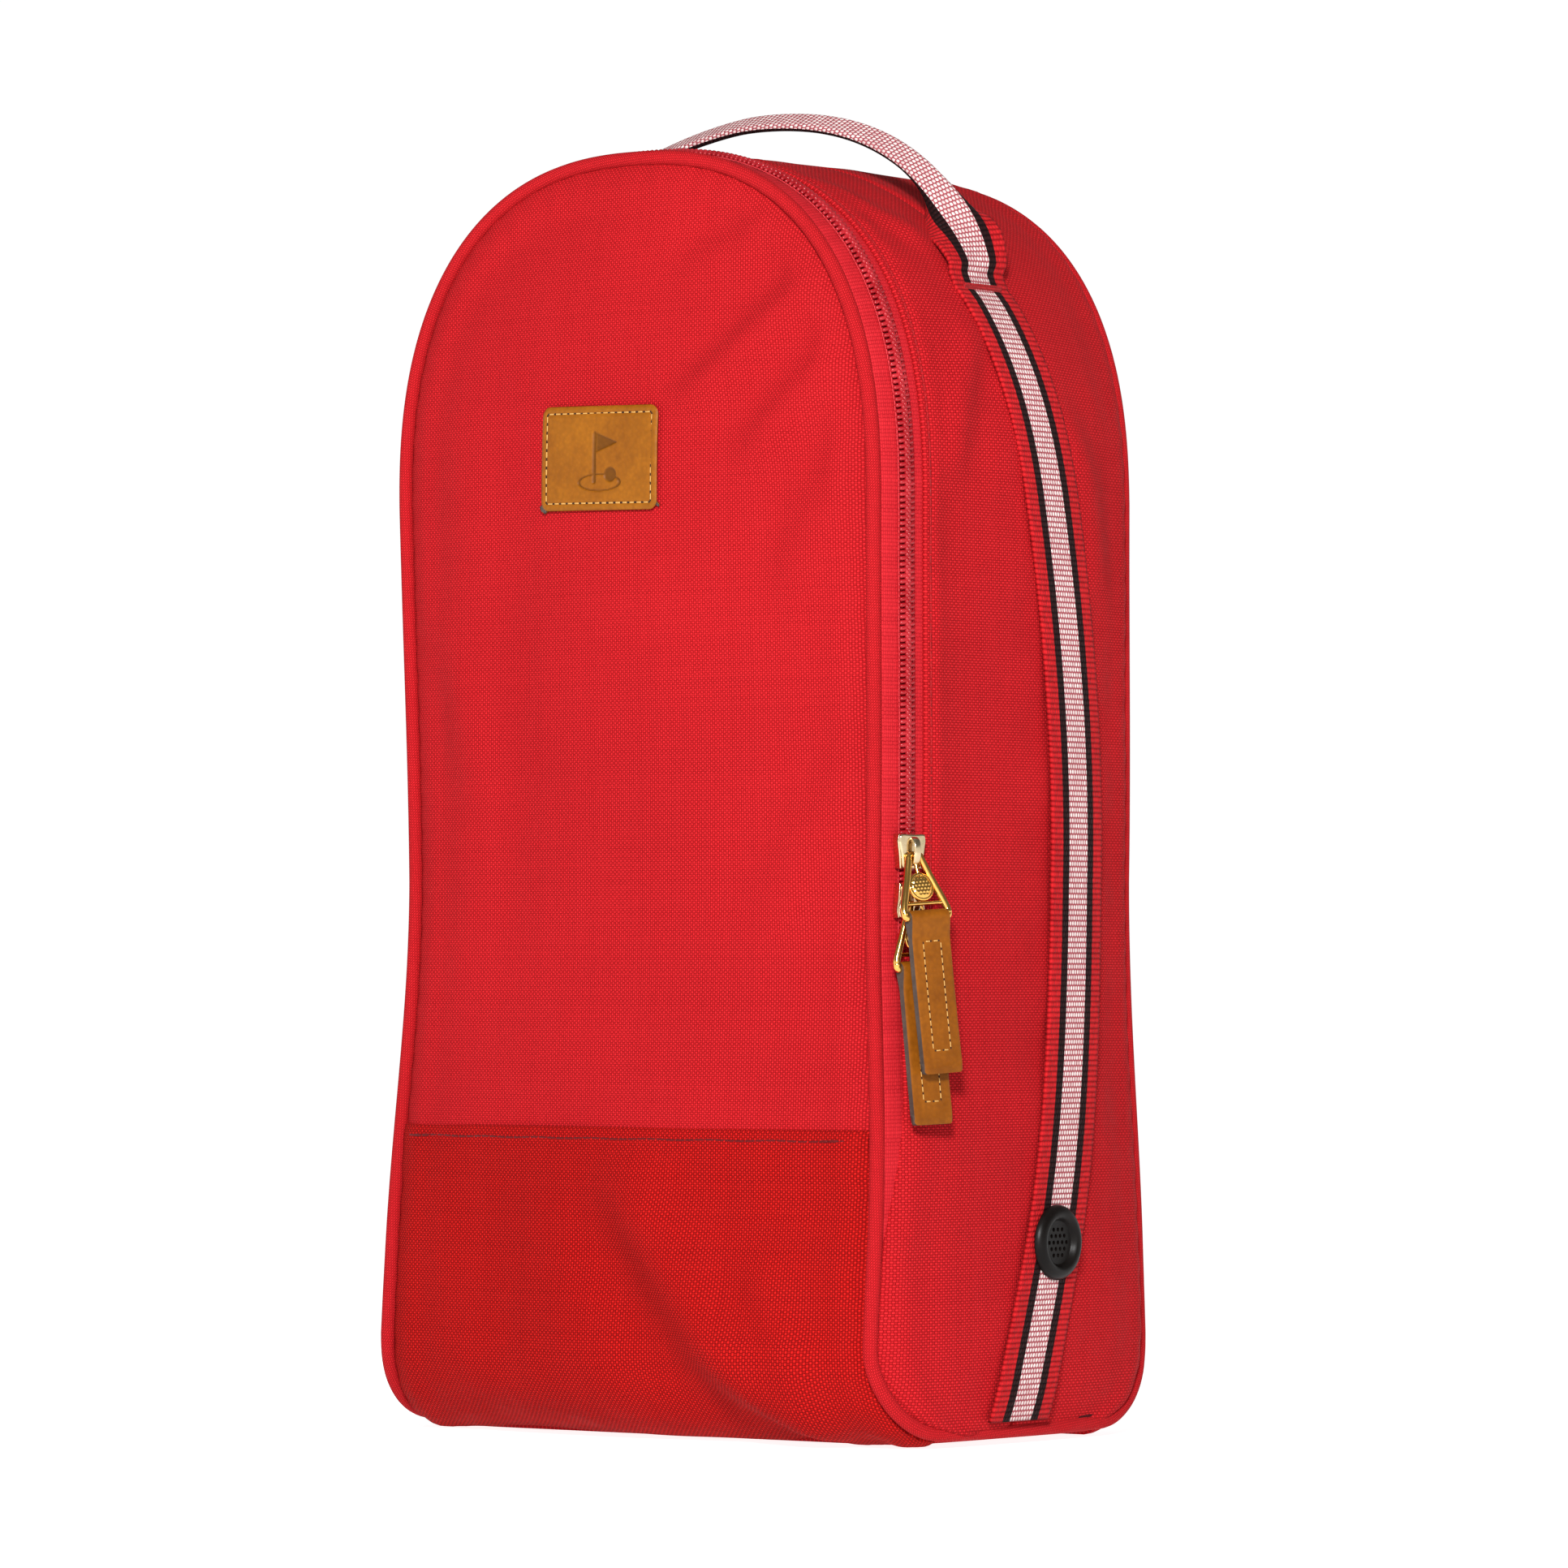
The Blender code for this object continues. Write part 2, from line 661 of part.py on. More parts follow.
def slider_mesh(flip):
    """Slider in its own frame: X across the chain, Z up the chain, -Y outwards. flip is -1 nose up."""
    half, long = SLIDER_HALF_WIDTH, SLIDER_LENGTH / 2
    bite = 0.0002  # joined pieces reach this far into each other
    back_low, back_high, back_half = COIL_R + 0.0014, COIL_R + 0.0023, 0.0030
    post_half, post_long = 0.00016, 0.0030
    mesh = bmesh.new()
    box_in(mesh, (-half, -PLATE_TOP, -long), (half, -PLATE_LOW, long))
    plate = finished(mesh, "slider_plate")
    pieces = []
    for side in (-1, 1):
        low, high = sorted((side * (COIL_OFFSET + COIL_R + 1.5 * GAP), side * half))
        piece = bmesh.new()
        box_in(piece, (low, -PLATE_LOW - bite, GAP - long), (high, 0.0008, long - GAP))
        pieces.append(finished(piece, "slider_flange"))
    back = bmesh.new()
    box_in(back, (-back_half, back_low, -long), (back_half, back_high, long))
    pieces.append(finished(back, "slider_back_plate"))
    post = bmesh.new()
    nose = flip * (long - GAP)
    ends = sorted((nose, nose - flip * post_long))
    box_in(post, (-post_half, -PLATE_LOW - bite, ends[0]), (post_half, back_low + bite, ends[1]))
    pieces.append(finished(post, "slider_post"))
    return plate, pieces


def bridge_mesh():
    """The loop on the slider that the pull hangs in."""
    mesh = bmesh.new()
    low = PLATE_TOP - 0.0002
    box_in(mesh, (-0.0010, -BRIDGE_TOP, -BRIDGE_HALF), (0.0010, -low, BRIDGE_HALF))
    return finished(mesh, "slider_bridge")


def make_slider(letter, z, flip, parent=None):
    place = skin_frame(s_at(z), CHAIN_D)
    plate, pieces = slider_mesh(flip)
    obj = add(f"slider_{letter}", plate, CHROME, smooth=30)
    obj.matrix_basis = place
    for piece in pieces:
        boolean(obj, helper(f"slider_{letter}_{piece.name}", piece, place), "UNION")
    boolean(obj, helper(f"slider_{letter}_bridge", bridge_mesh(), place), "UNION")
    eye = bmesh.new()
    reach = BRIDGE_HALF - BRIDGE_WALL
    box_in(eye, (-0.004, -BRIDGE_EYE, -reach), (0.004, -PLATE_TOP, reach))
    boolean(obj, helper(f"slider_{letter}_eye", finished(eye, "eye"), place), "DIFFERENCE")
    return obj


def pull_outline():
    """Closed centre line of the pull's wire: X across, Z up, its top bar on the X axis."""
    right = [
        (0.0021, 0.0), (0.0024, -0.0025), (0.0073, -0.0142), (0.0076, -0.0160), (0.0076, -PULL_LENGTH),
    ]
    return [(x, 0.0, z) for x, z in right] + [(-x, 0.0, z) for x, z in reversed(right)]


def wire_mesh(name):
    """The pull's wire as a closed, welded mesh."""
    curve_obj = tube(name, pull_outline(), PULL_WIRE_R, GOLD, cyclic=True)
    bpy.context.view_layer.update()
    graph = bpy.context.evaluated_depsgraph_get()
    mesh = bpy.data.meshes.new_from_object(curve_obj.evaluated_get(graph))
    bpy.data.objects.remove(curve_obj, do_unlink=True)
    work = bmesh.new()
    work.from_mesh(mesh)
    bmesh.ops.remove_doubles(work, verts=work.verts, dist=1e-6)
    bmesh.ops.recalc_face_normals(work, faces=work.faces)
    work.to_mesh(mesh)
    work.free()
    return mesh


def hang(parent_frame, drop, lift, skew, tilt):
    """Frame of a piece hung at (drop, lift) in its parent's frame, leaning out by tilt."""
    place = Matrix.Translation((0, -lift, -drop))
    return parent_frame @ place @ Matrix.Rotation(-skew, 4, "Y") @ Matrix.Rotation(-tilt, 4, "X")


def make_pull(letter, slider, skew, tilt):
    place = hang(slider.matrix_basis, PULL_PIVOT_DROP, PULL_PIVOT_LIFT, skew, tilt)
    pull = add(f"pull_{letter}", wire_mesh(f"pull_{letter}_wire"), GOLD)
    pull.matrix_basis = place
    button = bmesh.new()
    rod_in(button, (0, 0, -0.0088), (0, 1, 0), 0.0046, 0.0012, 20)
    boolean(pull, helper(f"pull_{letter}_button", finished(button, "button"), place), "UNION")
    return pull, place


def make_tab(letter, pull_place, tilt):
    """A leather strip folded round the pull's lower bar and stitched to itself."""
    place = hang(pull_place, PULL_LENGTH, 0.0, 0.0, TAB_TILT - tilt)
    strip = bmesh.new()
    box_in(strip, (-TAB_HALF_WIDTH, -TAB_THICK / 2, -TAB_LENGTH), (TAB_HALF_WIDTH, TAB_THICK / 2, 0))
    upright = [e for e in strip.edges if abs(e.verts[0].co.y - e.verts[1].co.y) > 0.001]
    corners = [e for e in upright if e.verts[0].co.z < -TAB_LENGTH / 2]
    bmesh.ops.bevel(strip, geom=corners, offset=0.0012, segments=3, affect="EDGES")
    tab = add(f"tab_{letter}", finished(strip, f"tab_{letter}"), TAN_LEATHER)
    tab.matrix_basis = place
    loop = bmesh.new()
    rod_in(loop, (0, 0, 0), (1, 0, 0), TAB_LOOP_R, 2 * TAB_HALF_WIDTH - 0.0002, 20)
    boolean(tab, helper(f"tab_{letter}_loop", finished(loop, "loop"), place), "UNION")
    bore = bmesh.new()
    rod_in(bore, (0, 0, 0), (1, 0, 0), PULL_WIRE_R + 0.0004, 0.03, 16)
    boolean(tab, helper(f"tab_{letter}_bore", finished(bore, "bore"), place), "DIFFERENCE")
    return tab


def make_pulls():
    """Both sliders with their pulls and tabs: each pull is parented to its slider, each tab to its pull."""
    settings = (("a", SLIDER_A_Z, -1, SKEW_A, TILT_A), ("b", SLIDER_B_Z, 1, SKEW_B, TILT_B))
    for letter, z, flip, skew, tilt in settings:
        slider = make_slider(letter, z, flip)
        pull, place = make_pull(letter, slider, skew, tilt)
        tab = make_tab(letter, place, tilt)
        attach(pull, slider)
        attach(tab, pull)


# ---------------------------------------------------------------- webbing, vents and handle


def make_webbing():
    top = s_at(WEB_TOP_Z)
    made = {}
    for side in ("right", "left"):
        mirror = (lambda s: s) if side == "right" else (lambda s: 2 * APEX_S - s)
        stations = sorted(mirror(s) for s in spread(s_at(WEB_FOOT_Z), top))
        made[side] = gusset_strip(
            f"webbing_{side}", stations,
            lambda s: seam_d(s) - WEB_WIDTH / 2, lambda s: seam_d(s) + WEB_WIDTH / 2,
            5, STRIPED_WEBBING, WEB_THICK, WEB_LIFT + WEB_THICK,
        )
        bar_s = mirror(s_at(TACK_Z))
        bar = bmesh.new()
        reach = WEB_WIDTH / 2 - 0.001
        box_in(bar, (-reach, -0.0008, -0.0008), (reach, 0, 0.0008))
        obj = add(f"bar_tack_{side}", finished(bar, "bar_tack"), RED_THREAD)
        obj.matrix_basis = skin_frame(bar_s, seam_d(bar_s), WEB_LIFT + WEB_THICK + GAP)
    return made


def vent_profile():
    """Half section of the vent: distance from its axis, height over the webbing."""
    return (
        (0.0, 0.0015), (0.0064, 0.0013), (0.0072, 0.0021), (0.0092, 0.0022), (0.0104, 0.0015),
        (VENT_R, 0.0005), (VENT_BARREL_R, 0.0005), (VENT_BARREL_R, -0.0060),
        (0.0058, -0.0060), (0.0058, 0.0003), (0.0, 0.0004),
    )


def washer_profile():
    """Half section of the ring that holds the vent from inside."""
    near, far, top, bottom = 0.0070, 0.0098, -0.0053, -0.0059
    return ((near, top), (far, top), (far, bottom), (near, bottom), (near, top))


def turned(name, profile, steps=24):
    """A turned solid about Z, as a plain mesh."""
    mesh = bpy.data.meshes.new(name)
    mesh.from_pydata([(x, 0, z) for x, z in profile], [(i, i + 1) for i in range(len(profile) - 1)], [])
    obj = bpy.data.objects.new(name, mesh)
    PARTS.objects.link(obj)
    screw = obj.modifiers.new("turn", "SCREW")
    screw.steps = screw.render_steps = steps
    screw.use_merge_vertices = True
    screw.merge_threshold = 0.00001
    return obj


def grille_holes():
    """Hexagonal field of small round cutters."""
    mesh = bmesh.new()
    pitch = 0.0024
    for row in range(-2, 3):
        for column in range(-2, 3):
            x, y = pitch * (column + (row % 2) / 2), pitch * row * math.sqrt(3) / 2
            if math.hypot(x, y) < 0.0053:
                rod_in(mesh, (x, y, 0.0008), (0, 0, 1), 0.0007, 0.004, 6)
    return finished(mesh, "grille_holes")


def make_vents(webbing, gussets):
    outwards = Matrix.Rotation(math.pi / 2, 4, "X")  # the vent's own +Z becomes the frame's -Y
    for side, s in vent_places():
        place = skin_frame(s, seam_d(s), WEB_LIFT + WEB_THICK) @ outwards
        vent = turned(f"vent_eyelet_{side}", vent_profile())
        vent.matrix_basis = place
        vent.data.materials.append(BLACK_PLASTIC)
        boolean(vent, helper(f"grille_{side}", grille_holes(), place), "DIFFERENCE")
        washer = turned(f"vent_washer_{side}", washer_profile())
        washer.matrix_basis = place
        washer.data.materials.append(BLACK_PLASTIC)
        cutter = bmesh.new()
        rod_in(cutter, (0, 0, 0), (0, 0, 1), VENT_BARREL_R + GAP, 0.016, 24)
        hole = helper(f"vent_hole_{side}", finished(cutter, "vent_hole"), place)
        boolean(webbing[side], hole, "DIFFERENCE")
        for gusset in gussets:
            boolean(gusset, hole, "DIFFERENCE")


def handle_arc(turn):
    """Centre line of the handle. turn runs from 0 at the right root to pi at the left root."""
    foot = skin(s_at(TACK_Z), WEB_D_TOP, WEB_LIFT + WEB_THICK / 2)
    across, up = superellipse(min(turn, math.pi - turn), HANDLE_POWER)
    side = 1 if turn <= math.pi / 2 else -1
    rise = HANDLE_TOP_Z - HANDLE_THICK / 2 - foot[2]
    return np.array([side * (foot[0] + HANDLE_SPREAD) * across, foot[1], foot[2] + rise * up])


def handle_section(share):
    """Width and thickness, from share 0 at a root to 1 where both edges are folded under."""
    ease = share * share * (3 - 2 * share)
    return (
        HANDLE_ROOT_WIDTH + (HANDLE_WIDTH - HANDLE_ROOT_WIDTH) * ease,
        WEB_THICK + (HANDLE_THICK - WEB_THICK) * ease,
    )


def make_handle():
    """A loft whose section narrows and thickens from the roots to the grip."""
    fine = np.linspace(0, 1, 200)
    start = float(np.interp(HANDLE_START_Z, [handle_arc(turn)[2] for turn in fine], fine))
    folded = 0.35  # this much further round, the edges are fully folded under
    mesh = bmesh.new()
    loops = []
    for turn in np.linspace(start, math.pi - start, 25):
        ahead = handle_arc(turn + 0.01) - handle_arc(turn - 0.01)
        outward = np.array([ahead[2], 0, -ahead[0]]) / math.hypot(ahead[0], ahead[2])
        width, thick = handle_section(min(1.0, (min(turn, math.pi - turn) - start) / folded))
        corners = ((-1, -1), (-1, 1), (0, 1), (1, 1), (1, -1), (0, -1))
        centre = handle_arc(turn)
        loops.append([
            mesh.verts.new(centre + np.array([0, a * width / 2, 0]) + outward * b * thick / 2)
            for a, b in corners
        ])
    for near, far in zip(loops, loops[1:]):
        for j in range(len(near)):
            k = (j + 1) % len(near)
            mesh.faces.new((near[j], near[k], far[k], far[j]))
    mesh.faces.new(loops[0])
    mesh.faces.new(loops[-1])
    bmesh.ops.recalc_face_normals(mesh, faces=mesh.faces)
    hinge = empty("handle_hinge", Matrix.Translation((0, handle_arc(0.0)[1], HANDLE_HINGE_Z)))
    add("handle", finished(mesh, "handle"), STRIPED_WEBBING, hinge)


# ---------------------------------------------------------------- leather patch


def make_patch(flap):
    rows = []
    lines = []
    for half in PATCH_HALF:
        inner = half - PATCH_CORNER
        lines.append([-half, *np.linspace(-inner, inner, 5), half])
    for z in lines[1]:
        row = []
        for x in lines[0]:
            corner = abs(x) == PATCH_HALF[0] and abs(z) == PATCH_HALF[1]
            shrink = PATCH_CORNER * (1 - math.sqrt(0.5)) if corner else 0.0
            px = PATCH_CENTRE[0] + x - math.copysign(shrink, x)
            pz = PATCH_CENTRE[1] + z - math.copysign(shrink, z)
            row.append((px, front_y(px, pz) - GAP - PATCH_THICK, pz))
        rows.append(row)
    sheet("leather_patch", rows, PATCH_THICK, TAN_LEATHER, flap)


# ---------------------------------------------------------------- assembly


def main():
    hinge_y = front_y(0.0, FOLD_Z) - GAP
    flap = empty("flap_hinge", Matrix.Translation((0, hinge_y, FOLD_Z)))
    make_panels(flap)
    make_piping(flap)
    make_bindings(flap)
    gussets = make_gusset()
    make_base()
    make_zip(flap)
    make_pulls()
    webbing = make_webbing()
    make_vents(webbing, gussets)
    make_handle()
    make_patch(flap)


main()
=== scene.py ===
"""Golf shoe bag: the visible model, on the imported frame.

Metres, +Z up, the front faces -Y. A place on the gusset is (s, d): s runs along the arched outline from the
bottom of the +X side over the top to the bottom of the other side, and d is the distance behind the front.
"""

import math

import bmesh
import bpy
import numpy as np
from mathutils import Matrix, Vector


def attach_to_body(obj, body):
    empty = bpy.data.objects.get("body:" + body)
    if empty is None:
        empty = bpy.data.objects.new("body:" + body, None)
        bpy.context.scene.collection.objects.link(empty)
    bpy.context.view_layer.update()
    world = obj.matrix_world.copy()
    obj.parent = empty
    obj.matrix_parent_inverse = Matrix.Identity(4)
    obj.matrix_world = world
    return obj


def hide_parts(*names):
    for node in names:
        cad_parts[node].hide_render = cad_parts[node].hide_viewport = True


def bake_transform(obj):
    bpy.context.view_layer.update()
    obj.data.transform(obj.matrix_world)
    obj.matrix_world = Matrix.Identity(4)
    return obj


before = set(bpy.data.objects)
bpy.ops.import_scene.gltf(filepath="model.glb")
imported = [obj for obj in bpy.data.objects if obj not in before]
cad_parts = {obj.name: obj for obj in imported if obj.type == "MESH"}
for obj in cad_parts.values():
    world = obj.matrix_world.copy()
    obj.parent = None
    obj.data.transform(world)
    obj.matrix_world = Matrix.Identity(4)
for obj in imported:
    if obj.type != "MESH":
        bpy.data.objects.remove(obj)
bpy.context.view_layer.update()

# Body
HEIGHT = 0.370
DEPTH = 0.1245
SWELL = 0.09
SWELL_Z = 0.070
BOW = 0.003
BOW_Z = 0.165
BOW_REACH = 0.085
HALF_WIDTH_FOOT = 0.0900
HALF_WIDTH_WAIST = 0.0855
HALF_WIDTH_ARCH = 0.0875
FOOT_Z = 0.055
EDGE_Z = 0.0028
TUCK = 0.0025
TUCK_Z = 0.020
CORNER_R = 0.027
WAIST_Z = 0.160
ARCH_Z = 0.270
ARCH_POWER = 2.4
BULGE = 0.009
BULGE_POWER = 3.6
CROWN_FRONT = 0.011
CROWN_BACK = 0.006
CROWN_POWER = 2.2
CROWN_FOOT = 0.35
CROWN_FADE_Z = 0.075
PANEL_RECESS = 0.0016
WALL = 0.0024
BASE_LIFT = 0.0008
WEAVE_STRETCH = 0.72  # the side cloth is drawn in across its width

# Seams
PIPING_R = 0.0022
EDGE_INSET = 0.0032  # panels end here, inside the piping
CONTRAST_Z = 0.090

# Zip
CHAIN_D = 0.0106
ZIP_BACK_D = 0.0168
STRIP_D = 0.0088  # below the zip the gusset reaches this near to the front
ZIP_END_RIGHT_Z = 0.143
ZIP_END_LEFT_Z = 0.160
TOOTH_PITCH = 0.00164
SLIDER_A_Z = 0.168
SLIDER_B_Z = 0.154
PULL_LENGTH = 0.0180
PULL_PIVOT_LIFT = 0.0034
PULL_PIVOT_DROP = 0.0012
TAB_LENGTH = 0.044
TAB_HALF_WIDTH = 0.0065
TAB_THICK = 0.0024
TAB_LOOP_R = 0.0021
TILT = {"a": math.radians(17), "b": math.radians(4)}
SKEW = {"a": math.radians(4), "b": math.radians(2)}
TAB_TILT = math.radians(4)

# Webbing, vents, handle and patch
WEB_WIDTH = 0.025
WEB_THICK = 0.0013
WEB_LIFT = 0.0006
WEB_FOOT_Z = 0.0080
WEB_D_FOOT = 0.052
WEB_D_MIDDLE = 0.0842
WEB_D_TOP = 0.0550
WEB_MIDDLE_Z = 0.165
TACK_Z = 0.326
VENT_Z = 0.0567
VENT_R = 0.0108
HANDLE_TOP_Z = 0.3860
LEAN_TO = (0, 0, 0.366)
GRIP_FROM_Z = 0.3262
HANDLE_POWER = 1.75
HANDLE_SWAY = (  # how far the handle's middle line stands above its arch, by X
    (-0.0856, 0.0), (-0.060, -0.0030), (-0.033, -0.0038), (-0.0092, -0.0037), (0.0134, -0.0014),
    (0.0268, 0.0002), (0.0445, 0.0018), (0.0535, 0.0026), (0.0712, 0.0018), (0.0856, 0.0),
)
HANDLE_THICK = 0.0030
HANDLE_TWIST = math.radians(33)  # the grip's face turns this far towards the front
PATCH_HALF = (0.0215, 0.0150)
PATCH_CENTRE = (-0.003, 0.2812)
PATCH_THICK = 0.0016
PATCH_CORNER = 0.0030
PATCH_TILT = math.radians(-1.2)


# ---------------------------------------------------------------- material nodes


def linear(srgb):
    return tuple(((c / 255 + 0.055) / 1.055) ** 2.4 if c > 10 else c / 255 / 12.92 for c in srgb)


class Look:
    """A Principled material, with short names for the nodes that feed it."""

    def __init__(self, name, roughness=0.7, metallic=0.0, **inputs):
        self.material = bpy.data.materials.new(name)
        self.material.use_nodes = True
        self.nodes = self.material.node_tree.nodes
        self.links = self.material.node_tree.links
        self.shader = self.nodes["Principled BSDF"]
        self.shader.inputs["Roughness"].default_value = roughness
        self.shader.inputs["Metallic"].default_value = metallic
        for key, value in inputs.items():
            self.shader.inputs[key.replace("_", " ")].default_value = value
        self.uv_node = None

    def feed(self, socket, value):
        if isinstance(value, bpy.types.NodeSocket):
            self.links.new(value, socket)
        elif isinstance(value, (tuple, list)) and len(socket.default_value) == 4 and len(value) == 3:
            socket.default_value = (*value, 1)
        else:
            socket.default_value = value

    def math(self, operation, *values, clamp=False):
        node = self.nodes.new("ShaderNodeMath")
        node.operation = operation
        node.use_clamp = clamp
        for socket, value in zip(node.inputs, values):
            self.feed(socket, value)
        return node.outputs[0]

    def mix(self, share, first, second):
        node = self.nodes.new("ShaderNodeMix")
        node.data_type = "RGBA"
        self.feed(node.inputs[0], share)
        self.feed(node.inputs[6], first)
        self.feed(node.inputs[7], second)
        return node.outputs[2]

    def uv(self):
        if not self.uv_node:
            node = self.nodes.new("ShaderNodeUVMap")
            node.uv_map = "UVMap"
            apart = self.nodes.new("ShaderNodeSeparateXYZ")
            self.links.new(node.outputs[0], apart.inputs[0])
            self.uv_node = (apart.outputs[0], apart.outputs[1], node.outputs[0])
        return self.uv_node

    def place(self):
        return self.nodes.new("ShaderNodeTexCoord").outputs["Object"]

    def noise(self, scale, detail=3.0, roughness=0.5):
        node = self.nodes.new("ShaderNodeTexNoise")
        node.inputs["Scale"].default_value = scale
        node.inputs["Detail"].default_value = detail
        node.inputs["Roughness"].default_value = roughness
        self.links.new(self.place(), node.inputs["Vector"])
        return node.outputs["Fac"]

    def chance(self, u, v):
        """A random number for each pair of whole numbers."""
        node = self.nodes.new("ShaderNodeTexWhiteNoise")
        node.noise_dimensions = "2D"
        join = self.nodes.new("ShaderNodeCombineXYZ")
        self.feed(join.inputs[0], u)
        self.feed(join.inputs[1], v)
        self.links.new(join.outputs[0], node.inputs["Vector"])
        return node.outputs["Value"]

    def ramp(self, value, *stops):
        node = self.nodes.new("ShaderNodeValToRGB")
        elements = node.color_ramp.elements
        while len(elements) < len(stops):
            elements.new(0.5)
        for element, (at, colour) in zip(elements, stops):
            element.position = at
            element.color = (*colour, 1) if isinstance(colour, tuple) else (colour, colour, colour, 1)
        self.feed(node.inputs[0], value)
        return node.outputs[0]

    def span(self, value, low, high, to_low=0.0, to_high=1.0, smooth=False):
        node = self.nodes.new("ShaderNodeMapRange")
        if smooth:
            node.interpolation_type = "SMOOTHSTEP"
        for socket, number in zip(node.inputs, (value, low, high, to_low, to_high)):
            self.feed(socket, number)
        return node.outputs[0]

    def bump(self, height, distance, strength, below=None):
        node = self.nodes.new("ShaderNodeBump")
        node.inputs["Strength"].default_value = strength
        node.inputs["Distance"].default_value = distance
        self.feed(node.inputs["Height"], height)
        if below is not None:
            self.links.new(below, node.inputs["Normal"])
        return node.outputs[0]

    def shaded(self, colour, value):
        node = self.nodes.new("ShaderNodeHueSaturation")
        self.feed(node.inputs["Value"], value)
        self.feed(node.inputs["Color"], colour)
        return node.outputs[0]

    def finish(self, colour, roughness, normal):
        for key, value in (("Base Color", colour), ("Roughness", roughness), ("Normal", normal)):
            self.feed(self.shader.inputs[key], value)
        return self.material


def threads(look, u, v, pitch_u, pitch_v):
    """Plain weave: height of the threads, a random number for each thread, and which one is on top."""
    across, along = look.math("DIVIDE", u, pitch_u), look.math("DIVIDE", v, pitch_v)
    warp, weft = look.math("FLOOR", across), look.math("FLOOR", along)
    over = look.math("MODULO", look.math("ABSOLUTE", look.math("ADD", warp, weft)), 2.0)
    round_u = look.math("SINE", look.math("MULTIPLY", look.math("FRACT", across), math.pi))
    round_v = look.math("SINE", look.math("MULTIPLY", look.math("FRACT", along), math.pi))
    warp_high = look.math("MULTIPLY", round_u, look.math("MULTIPLY_ADD", round_v, 0.5, 0.5))
    weft_high = look.math("MULTIPLY", round_v, look.math("MULTIPLY_ADD", round_u, 0.5, 0.5))
    under = look.math("SUBTRACT", 1.0, over)
    height = look.math("MULTIPLY_ADD", warp_high, over, look.math("MULTIPLY", weft_high, under))
    warp_chance, weft_chance = look.chance(warp, 3.0), look.chance(5.0, weft)
    each = look.math("MULTIPLY_ADD", warp_chance, over, look.math("MULTIPLY", weft_chance, under))
    cell = look.chance(warp, weft)
    return height, each, over, cell


def woven(name, dark, light, pitch, roughness=0.72, depth=0.00016, contrast=0.5, turn=0.0):
    """Woven cloth: painted shade darkens it between the threads and painted light brightens their crowns.
    contrast sets warp off from weft.
    """
    look = Look(name, roughness, Sheen_Weight=0.02, Sheen_Tint=(1, 0.3, 0.3, 1), Specular_IOR_Level=0.03)
    u, v, _ = look.uv()
    if turn:
        c, s = math.cos(turn), math.sin(turn)
        u, v = (
            look.math("MULTIPLY_ADD", u, c, look.math("MULTIPLY", v, -s)),
            look.math("MULTIPLY_ADD", u, s, look.math("MULTIPLY", v, c)),
        )
    height, each, over, cell = threads(look, u, v, pitch, pitch * 0.86)
    each = look.math("MULTIPLY_ADD", each, 0.5, look.math("MULTIPLY", cell, 0.5))
    # painted shade and light: each thread is coloured darker where it dips and lighter on its crown
    painted_thread_shading = look.math("MULTIPLY", height, look.math("MULTIPLY_ADD", over, contrast, 0.96 - contrast))
    tone = look.math("MULTIPLY_ADD", each, 0.12, painted_thread_shading, clamp=True)
    colour = look.mix(tone, linear(dark), linear(light))
    worn = look.shaded(colour, look.span(look.noise(14.0, 2.0), 0.3, 0.7, 0.93, 1.05))
    rough = look.span(look.noise(90.0, 2.0), 0.3, 0.7, roughness - 0.08, roughness + 0.08)
    soft = look.bump(look.noise(260.0, 2.0), 0.0004, 0.35)
    return look.finish(worn, rough, look.bump(height, depth, 0.9, soft))


def ribbed(name, dark, light):
    """Narrow-rib zip tape: fine ribs along v."""
    pitch, roughness, depth = 0.00062, 0.6, 0.00012
    look = Look(name, roughness, Sheen_Weight=0.01, Specular_IOR_Level=0.05)
    u, v, _ = look.uv()
    height, each, _, _ = threads(look, u, v, pitch, pitch * 1.7)
    # painted shade: the tape is coloured darker between its ribs and lighter on them
    tone = look.math("MULTIPLY_ADD", each, 0.3, look.math("MULTIPLY", height, 0.7))
    colour = look.mix(tone, linear(dark), linear(light))
    rough = look.span(look.noise(120.0), 0.3, 0.7, roughness - 0.08, roughness + 0.1)
    return look.finish(colour, rough, look.bump(height, depth, 0.8))


